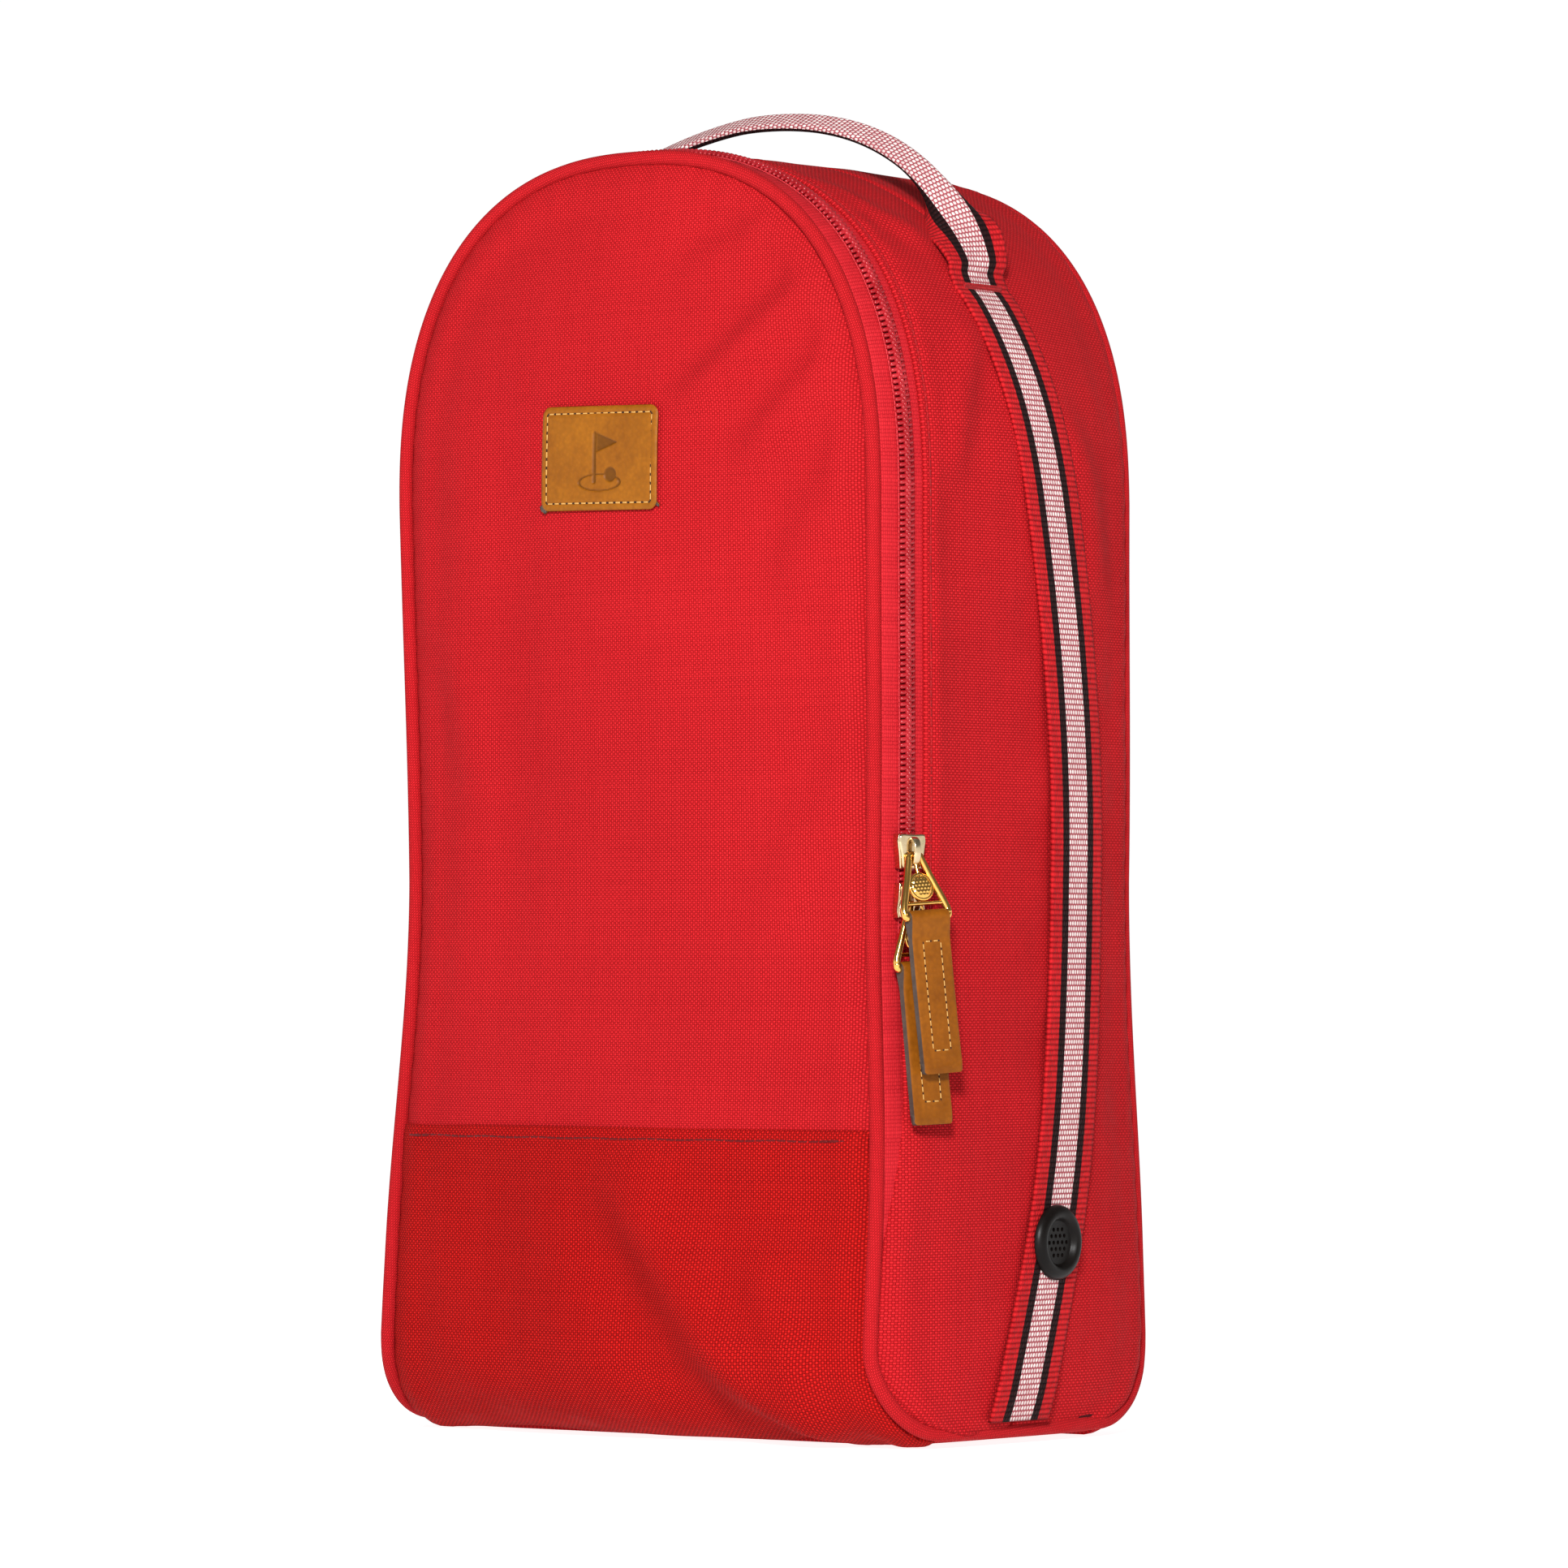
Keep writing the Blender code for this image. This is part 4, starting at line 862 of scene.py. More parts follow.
def front_wrinkles(x, z):
    """Unevenness of the front: pulls from the corner seams, and none under the patch."""
    out = ripple(x, z, 4, 0.085, 0.00045)
    left_hollow = [(-0.060, 0.345), (-0.057, 0.26), (-0.060, 0.16), (-0.064, 0.10)]
    out = out + fold(x, z, left_hollow, 0.012, 0.0012, -0.8)
    for path, width, height in (
        ([(0.080, 0.342), (0.056, 0.320), (0.034, 0.302), (0.016, 0.292)], 0.0062, 0.0024),
        ([(0.086, 0.318), (0.064, 0.296), (0.042, 0.274)], 0.0072, 0.0027),
        ([(0.064, 0.356), (0.042, 0.341), (0.016, 0.330)], 0.0060, 0.0017),
        ([(0.086, 0.288), (0.070, 0.262), (0.058, 0.232)], 0.0085, 0.0020),
        ([(0.084, 0.196), (0.064, 0.170), (0.050, 0.135)], 0.0095, 0.0016),
        ([(-0.084, 0.250), (-0.060, 0.215), (-0.046, 0.170)], 0.0105, 0.0016),
    ):
        out = out + fold(x, z, path, width, height)
    out = out + fold(x, z, [(0.045, 0.120), (0.058, 0.160), (0.055, 0.220)], 0.012, 0.0005)
    px, pz = PATCH_CENTRE
    under = np.exp(-(np.clip(np.hypot((x - px) / 1.3, z - pz) - 0.017, 0, None) / 0.008) ** 2)
    return out * (1 - under)


def contrast_wrinkles(x, z):
    out = ripple(x, z, 9, 0.05, 0.0006)
    long_crease = [(-0.006, 0.084), (0.0126, 0.0656), (0.0367, 0.0347), (0.0669, 0.0073), (0.080, -0.004)]
    out = out + fold(x, z, long_crease, 0.0120, 0.0062, 0.75)
    out = out + fold(x, z, [(0.050, 0.060), (0.062, 0.034), (0.074, 0.012)], 0.007, 0.0026, 0.8)
    out = out + fold(x, z, [(-0.070, 0.030), (-0.040, 0.016), (0.0, 0.012)], 0.009, 0.0008, 0.8)
    return out * ease((CONTRAST_Z - z) / 0.012)


def back_wrinkles(x, z):
    return ripple(x, z, 17, 0.08, 0.0006)


def base_grid():
    """Points and flat coordinates of the base panel."""
    d = np.linspace(CORNER_R - 0.001, DEPTH - CORNER_R + 0.001, 26)[:, None]
    x = side_reach(EDGE_Z, d) * COLUMNS[None, :]
    e = (1 - np.abs(COLUMNS[None, :])) * PANEL_SPAN + 0 * x
    lift = 0.0002 + BASE_LIFT * np.exp(-((e / 0.010) ** 2)) + 0.0018 * np.exp(-((e / 0.0016) ** 2))
    return np.stack([x, depth_y(d, 0.0) + 0 * x, lift], -1), np.stack([x, d + 0 * x], -1)


def make_contrast_topstitch():
    path, normals = [], []
    for x in np.linspace(-0.0815, 0.0815, 120):
        z = CONTRAST_Z - 0.0036 - 0.00012 * math.sin(x * 300)
        e = np.array(max(0.0, PANEL_SPAN - abs(x)))
        out = float(edge_shape(e, np.array(z)) + contrast_wrinkles(np.array(x), np.array(z)))
        path.append((x, float(front_y(x, z)) - out - 0.00105, z))
        slope = float(front_y(x + 0.001, z) - front_y(x - 0.001, z)) / 0.002
        normals.append(np.array([slope, -1.0, 0.0]) / math.hypot(slope, 1.0))
    stay(stitches("contrast_topstitch", path, normals, DARK_THREAD, 0.0033, 0.74, 0.00036), "thread")


def make_padded(name, points, uv, thickness, node, look=RED, slot="red_fabric"):
    """A padded cloth on the body, with the dark lining behind it."""
    cloth = surface(name, points, uv, look, LINING, thickness)
    stay(cloth, slot, node)


def make_panels():
    s = np.linspace(s_at(CONTRAST_Z - 0.004), APEX_S, 170)
    points, uv = upright(s, False, front_wrinkles)
    panel = surface("front_panel", points, uv, RED, LINING, WALL)
    bend_with_flap(panel, "red_fabric", "front_panel_flap", "front_panel_lower")

    low, low_uv = wrapped(np.linspace(0, np.pi / 2, 26), False, contrast_wrinkles)
    s = np.linspace(s_at(EDGE_Z + CORNER_R) + 0.002, s_at(CONTRAST_Z - 0.0012), 30)
    high, high_uv = upright(s, False, contrast_wrinkles)
    high[..., 1] -= 0.0009 * ease((high[..., 2] - 0.07) / 0.01)
    lip = high[-1].copy()
    rows, flat = [low, high], [low_uv, high_uv]
    for rise, sink in ((0.0006, 0.0003), (0.0010, 0.0010), (0.0006, 0.0022)):
        edge = lip.copy()
        edge[:, 2] += rise
        edge[:, 1] += sink
        rows.append(edge[None])
        flat.append((high_uv[-1] + [0, rise])[None])
    make_padded(
        "front_contrast_panel_cloth", np.concatenate(rows), np.concatenate(flat), WALL * 0.8,
        "front_contrast_panel", MELANGE, "red_melange",
    )

    low, low_uv = wrapped(np.linspace(0, np.pi / 2, 22), True, back_wrinkles)
    s = np.linspace(s_at(EDGE_Z + CORNER_R) + 0.002, APEX_S, 190)
    high, high_uv = upright(s, True, back_wrinkles)
    cloth, cloth_uv = np.concatenate([low, high]), np.concatenate([low_uv, high_uv])
    make_padded("back_panel_cloth", cloth, cloth_uv, WALL, "back_panel")
    make_padded("base_panel_cloth", *base_grid(), WALL * 0.9, "base_panel")
    make_contrast_topstitch()


# ---------------------------------------------------------------- piping


def piping_path(rear, inside=0.0):
    """Centre line of the piping: from under the bag up the +X side, over the arch and down the other side.

    inside moves it into the bag, for the tape that binds the seam.
    """
    middle = EDGE_Z + CORNER_R
    behind = PIPING_R + 1.4 * inside
    reach = CORNER_R - behind
    turns = np.linspace(0, np.pi / 2, 22)
    z = np.concatenate([np.full(14, EDGE_Z + behind), middle - reach * np.cos(turns)[1:]])
    d = np.concatenate([np.linspace(DEPTH / 2, CORNER_R, 14), CORNER_R - reach * np.sin(turns)[1:]])
    s = np.concatenate([s_at(z), np.linspace(s_at(middle), APEX_S, 190)[1:]])
    d = np.concatenate([d, np.full(189, behind)])
    if rear:
        d = DEPTH - d
    flat = outline_point(s) + (bulge(s, d) - PIPING_R - inside)[:, None] * outline_normal(s)
    right = np.stack([flat[:, 0], depth_y(d, outline_point(s)[:, 1]), flat[:, 1]], -1)
    left = right[-2::-1] * np.array([-1, 1, 1])
    return np.concatenate([right, left])


def make_piping():
    front = tube("front_piping", piping_path(False), PIPING_R * 0.98, PIPING, 16)
    bend_with_flap(front, "red_fabric", "front_piping_flap", "front_piping_right", "front_piping_left")
    stay(tube("rear_piping", piping_path(True), PIPING_R * 0.98, PIPING, 16), "red_fabric", "back_piping")
    stay(tube("rear_seam_tape", piping_path(True, 0.0014), PIPING_R, BINDING, 12), "binding")


# ---------------------------------------------------------------- gusset


def zip_share(s):
    """1 where the zip is, 0 below its ends."""
    z = outline_point(s)[..., 1]
    end = np.where(np.asarray(s) <= APEX_S, ZIP_END_RIGHT_Z, ZIP_END_LEFT_Z)
    return ease((z - end + 0.006) / 0.008)


def tape_share(s):
    """1 where the front tape shows beside the piping, 0 where the gusset is sewn straight to the piping."""
    return ease((outline_point(s)[..., 1] - 0.045) / 0.055)


def gusset_wrinkles(s, d):
    """Unevenness of the sides: soft waves, and pulls that start at the webbing."""
    z = outline_point(s)[..., 1]
    out = ripple(s, d, 23, 0.075, 0.0007)
    away = np.abs(d - seam_d(s))
    out = out + 0.0005 * np.exp(-((away - 0.017) / 0.006) ** 2) * np.sin(z * 2 * np.pi / 0.031 + 1.3)
    tack = float(s_at(TACK_Z))
    for mirror in (s, 2 * APEX_S - s):
        for creased, width, height in (
            ([(-0.006, 0.046), (-0.030, 0.034), (-0.062, 0.026)], 0.006, 0.0015),
            ([(0.010, 0.044), (0.026, 0.030), (0.052, 0.021)], 0.005, 0.0013),
            ([(-0.020, 0.074), (-0.052, 0.092), (-0.090, 0.100)], 0.007, 0.0014),
        ):
            out = out + fold(mirror, d, [(tack + along, across) for along, across in creased], width, height)
    out = out - 0.0009 * np.exp(-(((d - 0.034) / 0.016) ** 2)) * np.exp(-(((z - 0.17) / 0.10) ** 2))
    return out


def gusset_grid(rear):
    """Points and flat coordinates of the gusset's strip before or behind the webbing."""
    low = s_at(EDGE_Z + 0.0024)
    right = np.concatenate([np.linspace(low, s_at(0.032), 18), np.linspace(s_at(0.032), APEX_S, 220)[1:]])
    s = np.concatenate([right, (2 * APEX_S - right)[-2::-1]])[:, None]
    z = outline_point(s)[..., 1]
    seam = seam_d(s)
    near = np.array([0, 0.008, 0.018, 0.030, 0.042, 0.054, 0.068, 0.088, 0.116, 0.152, 0.200])
    if rear:
        rim = DEPTH - corner_d(z, EDGE_INSET)
        steps = np.concatenate([near, np.linspace(near[-1], 1, 14)[1:]])[None, :]
        d = rim - (rim - seam - 0.0005) * steps
        e = rim - d
        out = edge_shape(e, s + 0 * e)
        out = out + gusset_wrinkles(s, d) * ease(e / 0.01)
        return skin(s + 0 * d, d, out), np.stack([s + 0 * d, WEAVE_STRETCH * d], -1)
    share = tape_share(s)
    rim = corner_d(z, EDGE_INSET) * (1 - share) + STRIP_D * share + (ZIP_BACK_D - STRIP_D) * zip_share(s)
    steps = np.concatenate([near, np.linspace(near[-1], 1, 20)[1:]])[None, :]
    d = rim + (seam + 0.0050 - rim) * steps
    e = d - rim
    sewn = edge_shape(e, s + 0 * e)
    lip = -0.0010 * (1 - np.sqrt(np.clip(1 - np.clip(1 - e / 0.0010, 0, 1) ** 2, 0, 1)))
    groove = -0.00035 * np.exp(-(((e - 0.0022) / 0.0008) ** 2))
    puff = 0.0004 * np.exp(-(((e - 0.0052) / 0.0024) ** 2)) * (1 + 0.5 * np.sin(s * 2 * np.pi / 0.0105))
    out = sewn * (1 - share) + (lip + groove + puff) * share
    out = out + gusset_wrinkles(s, d) * ease(e / 0.012) - 0.0007 * ease((d - seam + 0.0015) / 0.0030)
    points = skin(s + 0 * d, d, out)
    zipped = share[:, 0]
    under = skin(s[:, 0], rim[:, 0] + 0.0030 * zipped - 0.0008 * (1 - zipped), -0.0038)
    side = skin(s[:, 0], rim[:, 0] - 0.0004 * (1 - zipped), -0.0030)
    points = np.concatenate([under[:, None], side[:, None], points], axis=1)
    flat = np.stack([s + 0 * d, WEAVE_STRETCH * d], -1)
    flat = np.concatenate([flat[:, :1] - [0, 0.003], flat[:, :1] - [0, 0.001], flat], axis=1)
    return points, flat


def make_gusset():
    make_padded("front_gusset_cloth", *gusset_grid(False), WALL * 0.7, "front_gusset")
    make_padded("rear_gusset_cloth", *gusset_grid(True), WALL * 0.7, "rear_gusset")
    s = np.linspace(s_at(ZIP_END_RIGHT_Z + 0.003), s_at(ZIP_END_LEFT_Z + 0.003, left=True), 900)
    d = ZIP_BACK_D + 0.0022
    row = stitches("zip_topstitch", skin(s, d, -0.00012), skin_normal(s, d), RED_THREAD, 0.0027, 0.7, 0.00024)
    stay(row, "thread")


# ---------------------------------------------------------------- zip


def make_zip_tapes():
    foot = s_at(0.050)
    s = np.linspace(foot, 2 * APEX_S - foot, 620)[:, None]
    steps = np.array([0, 0.12, 0.3, 0.5, 0.68, 0.82, 0.91, 0.96, 0.99, 1.0])[None, :]
    d = 0.0028 + (CHAIN_D - 0.0030) * steps
    swell = 0.0004 * np.sin(np.clip(steps * 1.15, 0, 1) * np.pi) + 0.00010 * np.sin(s * 2 * np.pi / 0.0087)
    points = skin(s + 0 * d, d, swell - 0.0010 - 0.0016 * (1 - tape_share(s)))
    tape = surface("zip_tape_front", points, np.stack([d + 0 * s, s + 0 * d], -1), TAPE, None, 0.0006)
    bend_with_flap(tape, "zip_tape", "zip_front_tape", "zip_front_tape_end_right", "zip_front_tape_end_left")
    low, high = s_at(ZIP_END_RIGHT_Z - 0.003), s_at(ZIP_END_LEFT_Z - 0.003, left=True)
    s = np.linspace(low, high, 420)[:, None]
    d = np.linspace(CHAIN_D + 0.0001, ZIP_BACK_D + 0.0030, 8)[None, :]
    points = skin(s + 0 * d, d, -0.0012 - 0.10 * np.clip(d - ZIP_BACK_D + 0.001, 0, None))
    tape = surface("zip_tape_rear", points, np.stack([d + 0 * s, s + 0 * d], -1), TAPE, None, 0.0006)
    stay(tape, "zip_tape", "zip_rear_tape")


def make_zip():
    """Two rows of coils, with the thread that sews them to the tapes, and a stop at each end."""
    make_zip_tapes()
    start, end = s_at(ZIP_END_RIGHT_Z + 0.001), s_at(ZIP_END_LEFT_Z + 0.001, left=True)
    fine = np.linspace(start, end, 1400)
    front_coils = ("zip_front_coil", "zip_front_coil_end_right", "zip_front_coil_end_left")
    for row, way, attach, nodes in (
        ("zip_teeth_front", -1, bend_with_flap, front_coils),
        ("zip_teeth_rear", 1, stay, ("zip_rear_coil",)),
    ):
        at = np.arange(start, end, TOOTH_PITCH) + (TOOTH_PITCH / 2 if way > 0 else 0)
        near, far = CHAIN_D - way * 0.0003, CHAIN_D + way * 0.0019
        inner = skin(at, near, 0.0002)
        outer = skin(at + 0.00030 * way, far, -0.0001)
        normal = skin_normal(at, CHAIN_D)
        half = np.linalg.norm(outer - inner, axis=1) / 2
        middle = (inner + outer) / 2
        teeth = capsules(row, middle, outer - inner, normal, half, 0.00066, COIL, sides=7, flatten=1.1)
        heads = capsules(
            row + "_heads", inner + normal * 0.25, skin(at + 0.0004, near) - skin(at - 0.0004, near), normal,
            0.00014, 0.00070, COIL, sides=7,
        )
        attach(joined(teeth, heads), "zip_coil", *nodes)
        line = skin(fine, CHAIN_D + way * 0.0023, -0.0004)
        sewing = stitches(
            row + "_sewing", line, skin_normal(fine, CHAIN_D), ZIP_THREAD, TOOTH_PITCH, 0.75, 0.00022
        )
        attach(sewing, "thread")
    for side, s in (("right", start - 0.0004), ("left", end + 0.0004)):
        low, high = (-0.0034, -0.0012, -0.0013), (0.0034, 0.0008, 0.0013)
        stop = rounded_box(f"zip_stop_{side}_piece", low, high, 0.0006, COIL)
        stop.matrix_world = skin_frame(s, CHAIN_D)
        stay(stop, "zip_coil", f"zip_stop_{side}")


def joined(first, *others):
    """Adds the other pieces' meshes to the first one's."""
    work = bmesh.new()
    work.from_mesh(first.data)
    for other in others:
        start = len(first.data.materials)
        for look in other.data.materials:
            first.data.materials.append(look)
        before = len(work.faces)
        work.from_mesh(other.data)
        work.faces.ensure_lookup_table()
        for face in work.faces[before:]:
            face.material_index += start
        bpy.data.objects.remove(other, do_unlink=True)
    work.to_mesh(first.data)
    work.free()
    return first


def rounded_box(name, low, high, radius, look, segments=3):
    mesh = bmesh.new()
    size, middle = Vector(high) - Vector(low), (Vector(high) + Vector(low)) / 2
    bmesh.ops.create_cube(mesh, size=1, matrix=Matrix.Translation(middle) @ Matrix.Diagonal((*size, 1)))
    bmesh.ops.bevel(mesh, geom=mesh.edges[:], offset=radius, segments=segments, affect="EDGES", profile=0.5)
    return saved(name, mesh, look)


def plate(name, outline, low, high, radius, look):
    """A flat plate with rounded edges: outline is in X-Z, low to high is in Y."""
    mesh = bmesh.new()
    bottom = [mesh.verts.new((x, low, z)) for x, z in outline]
    top = [mesh.verts.new((x, high, z)) for x, z in outline]
    count = len(outline)
    for k in range(count):
        after = (k + 1) % count
        mesh.faces.new((bottom[k], bottom[after], top[after], top[k]))
    mesh.faces.new(bottom[::-1])
    mesh.faces.new(top)
    bmesh.ops.recalc_face_normals(mesh, faces=mesh.faces)
    rims = [e for e in mesh.edges if abs(e.verts[0].co.y - e.verts[1].co.y) < 1e-7]
    bmesh.ops.bevel(mesh, geom=rims, offset=radius, segments=3, affect="EDGES", profile=0.5)
    return smoothed(saved(name, mesh, look), 40)


def rounded_outline(corners, radius, steps=4):
    """Corners of a closed outline, each cut back to a round of about this radius."""
    made = []
    corners = np.array(corners)
    for before, here, after in zip(np.roll(corners, 1, axis=0), corners, np.roll(corners, -1, axis=0)):
        back, on = before - here, after - here
        r = min(radius, 0.45 * np.linalg.norm(back), 0.45 * np.linalg.norm(on))
        a, b = here + back / np.linalg.norm(back) * r, here + on / np.linalg.norm(on) * r
        for t in np.linspace(0, 1, steps):
            made.append(tuple((1 - t) ** 2 * a + 2 * t * (1 - t) * here + t * t * b))
    return made


# ---------------------------------------------------------------- sliders, pulls and tabs


def mirrored(right):
    """Points (x, z) and, in the other order, their mirror images."""
    return [*right, *((-x, z) for x, z in right[::-1])]


def make_slider(letter, z, flip):
    """Slider: X across the chain, Z along it, -Y outwards. flip is 1 where the nose is up, or -1."""
    place = skin_frame(s_at(z), CHAIN_D)
    name = f"slider_{letter}"
    nose, tail = 0.0050 * flip, -0.0049 * flip
    outline = rounded_outline(mirrored([
        (0.0032, tail), (0.0036, tail * 0.2), (0.0046, nose * 0.55), (0.0042, nose), (0.0012, nose * 0.96),
    ]), 0.0012)
    top = plate(f"{name}_body", outline, -0.0029, -0.0016, 0.0005, CHROME)
    parts = [plate(f"{name}_back", outline, 0.0019, 0.0028, 0.0003, CHROME)]
    for side in (-1, 1):
        wall = rounded_outline([(side * x, z) for x, z in (
            (0.0030, tail), (0.0039, tail), (0.0042, tail * 0.2), (0.0048, nose * 0.6),
            (0.0044, nose), (0.0036, nose * 0.9), (0.0034, tail * 0.2),
        )], 0.0003, 3)
        parts.append(plate("slider_wall", wall, -0.0024, 0.0004, 0.0003, CHROME))
    arch = []
    for turn in np.linspace(0, np.pi, 17):
        out = 0.0026 + 0.0025 * math.sin(turn) ** 0.6
        arch.append((0.0, -out, 0.0036 * math.cos(turn)))
    parts.append(bar("slider_bridge", arch, 0.0011, 0.00055, CHROME))
    bottom, top_z = sorted((nose, nose * 0.4))
    low, high = (-0.00018, -0.0020, bottom), (0.00018, 0.0022, top_z)
    parts.append(rounded_box("slider_post", low, high, 0.00008, CHROME, 1))
    slider = joined(top, *parts)
    slider.matrix_world = place
    ride(slider, name, "slider_metal", name)
    return place


def bar(name, path, half_across, half_thick, look):
    """A bar of rounded rectangular section along a path in the Y-Z plane."""
    path = np.asarray(path, float)
    way = np.gradient(path, axis=0)
    way /= np.linalg.norm(way, axis=1, keepdims=True)
    side = np.array([1.0, 0, 0])
    up = np.cross(way, side)
    turns = np.linspace(0, 2 * np.pi, 17)
    a = np.sign(np.cos(turns)) * np.abs(np.cos(turns)) ** 0.6 * half_across
    b = np.sign(np.sin(turns)) * np.abs(np.sin(turns)) ** 0.6 * half_thick
    points = path[:, None, :] + a[None, :, None] * side + b[None, :, None] * up[:, None, :]
    flat = np.zeros((*points.shape[:2], 2))
    obj = surface(name, points, flat, look, centre=points.reshape(-1, 3).mean(axis=0))
    work = bmesh.new()
    work.from_mesh(obj.data)
    bmesh.ops.holes_fill(work, edges=[e for e in work.edges if e.is_boundary])
    bmesh.ops.recalc_face_normals(work, faces=work.faces)
    work.to_mesh(obj.data)
    work.free()
    return smoothed(obj, 50)


def smooth_closed(corners, steps):
    """Rounded closed line through these points."""
    points = np.array(corners, float)
    count = len(points)
    made = []
    for k in range(count):
        a, b, c, e = (points[(k + j) % count] for j in (-1, 0, 1, 2))
        for t in np.linspace(0, 1, steps, endpoint=False):
            square, cube = (2 * a - 5 * b + 4 * c - e) * t**2, (3 * b - a - 3 * c + e) * t**3
            made.append(0.5 * (2 * b + (c - a) * t + square + cube))
    return np.array(made)


def ring_tube(name, path, radius, look):
    """A closed rod along a path in the X-Z plane."""
    path = np.asarray(path, float)
    way = np.roll(path, -1, axis=0) - np.roll(path, 1, axis=0)
    way /= np.linalg.norm(way, axis=1, keepdims=True)
    up = np.array([0, 1.0, 0])
    side = np.cross(way, up)
    side /= np.linalg.norm(side, axis=1, keepdims=True)
    turns = np.linspace(0, 2 * np.pi, 12, endpoint=False)[None, :, None]
    points = path[:, None] + radius * (np.cos(turns) * up + np.sin(turns) * side[:, None])
    quads = grid_faces(*points.shape[:2], closed=("rows", "columns"))
    return faceted(name, points.reshape(-1, 3).tolist(), quads.tolist(), look)


def hang(parent_frame, drop, lift, skew, tilt):
    """Place of a piece that hangs drop below and lift in front of its parent, skewed and tilted outwards."""
    place = Matrix.Translation((0, -lift, -drop))
    return parent_frame @ place @ Matrix.Rotation(-skew, 4, "Y") @ Matrix.Rotation(-tilt, 4, "X")


def ball(name, centre, radius, look):
    mesh = bmesh.new()
    place = Matrix.Translation(centre)
    bmesh.ops.create_uvsphere(mesh, u_segments=16, v_segments=10, radius=radius, matrix=place)
    return saved(name, mesh, look)


def dimpled_disc(name, radius, low, high, look):
    """A golf ball in relief: a shallow dome with rings of dimples, facing -Y."""
    rings, sides = 34, 84
    r = np.linspace(0, radius, rings)[:, None]
    turn = np.linspace(0, 2 * np.pi, sides, endpoint=False)[None, :]
    x, z = r * np.cos(turn), r * np.sin(turn)
    dome = high * np.sqrt(np.clip(1 - (r / radius) ** 4, 0, 1)) + 0 * turn
    pits = 0.0
    for row in range(-4, 5):
        for column in range(-4, 5):
            px, pz = 0.00115 * (column + (row % 2) / 2), 0.00100 * row
            if math.hypot(px, pz) < radius * 0.85:
                pits = pits + 0.00022 * np.exp(-(((x - px) ** 2 + (z - pz) ** 2) / 0.00034**2))
    points = np.stack([x, -(dome - pits), z], -1)
    back = np.stack([x[::-1], 0 * x - low, z[::-1]], -1)
    points = np.concatenate([points, back])
    quads = grid_faces(*points.shape[:2], closed=("columns",))
    return smoothed(faceted(name, points.reshape(-1, 3).tolist(), quads.tolist(), look, weld=1e-6), 50)


def make_pull(letter, slider_place):
    """A triangle of wire round a dimpled disc. Its pivot is its own frame's origin, and it hangs along -Z."""
    place = hang(slider_place, PULL_PIVOT_DROP, PULL_PIVOT_LIFT, SKEW[letter], TILT[letter])
    name = f"pull_{letter}"
    low = -PULL_LENGTH
    right = [
        (0.0017, -0.0001), (0.0024, -0.0018), (0.0040, -0.0066), (0.0060, -0.0118), (0.0071, -0.0148),
        (0.0074, low + 0.0016), (0.0070, low + 0.0001), (0.0045, low), (0.0015, low),
    ]
    wire_path = [(0, 0, 0.0001), *((x, 0, z) for x, z in mirrored(right))]
    wire = ring_tube(f"{name}_frame", smooth_closed(wire_path, 5), 0.00108, GOLD)
    parts = [ball("end", (side * 0.0073, 0, low + 0.0012), 0.0012, GOLD) for side in (-1, 1)]
    disc_r, disc_z, thin = 0.0036, -0.0092, 0.0006
    disc = dimpled_disc("disc", disc_r, -0.0006, 0.0012, GOLD)
    disc.data.transform(Matrix.Translation((0, 0, disc_z)))
    turns = np.linspace(0, 2 * np.pi, 40, endpoint=False)
    rim_path = [(disc_r * math.cos(turn), 0, disc_z + disc_r * math.sin(turn)) for turn in turns]
    rim = ring_tube("rim", rim_path, thin, GOLD)
    crossbar = tube("crossbar", [(x, 0, -0.0140) for x in np.linspace(-0.0068, 0.0068, 9)], thin, GOLD, 10)
    stem = tube("stem", [(0, 0, z) for z in np.linspace(-0.0052, -0.0004, 5)], thin, GOLD, 10)
    pull = joined(wire, *parts, disc, rim, crossbar, stem)
    pull.matrix_world = place
    ride(pull, name, "gold_metal", name)
    return place


def tab_bend(z, bend):
    return bend * (z / TAB_LENGTH) ** 2


def tab_point(part, k, x, bend):
    """A point of the folded strip, k along its front layer, the loop round the bar, or its back layer."""
    layer, corner_r = TAB_THICK / 2, 0.0011
    corner = TAB_HALF_WIDTH - abs(x)
    cut = corner_r - math.sqrt(max(0.0, corner_r**2 - max(0.0, corner_r - corner) ** 2))
    edge = 0.00022 * math.exp(-(corner / 0.0004) ** 1.5)
    if part == "loop":
        y, z = -math.cos(math.pi * k) * (TAB_LOOP_R - edge), math.sin(math.pi * k) * (TAB_LOOP_R - edge)
    else:
        z = (cut - TAB_LENGTH) * (1 - k)
        opened = ease((z + 0.0065) / 0.0065)
        y = (layer - edge) * (1 - opened) + (TAB_LOOP_R - edge) * opened
        sewn = abs(abs(x) - 0.0046) < 0.0008 and -0.0385 < z < -0.0060
        y -= 0.00012 if sewn else 0.0
        y -= 0.0002 if k == 0 else 0.0
        y = -y if part == "front" else y
    return x, y + tab_bend(z, bend), z


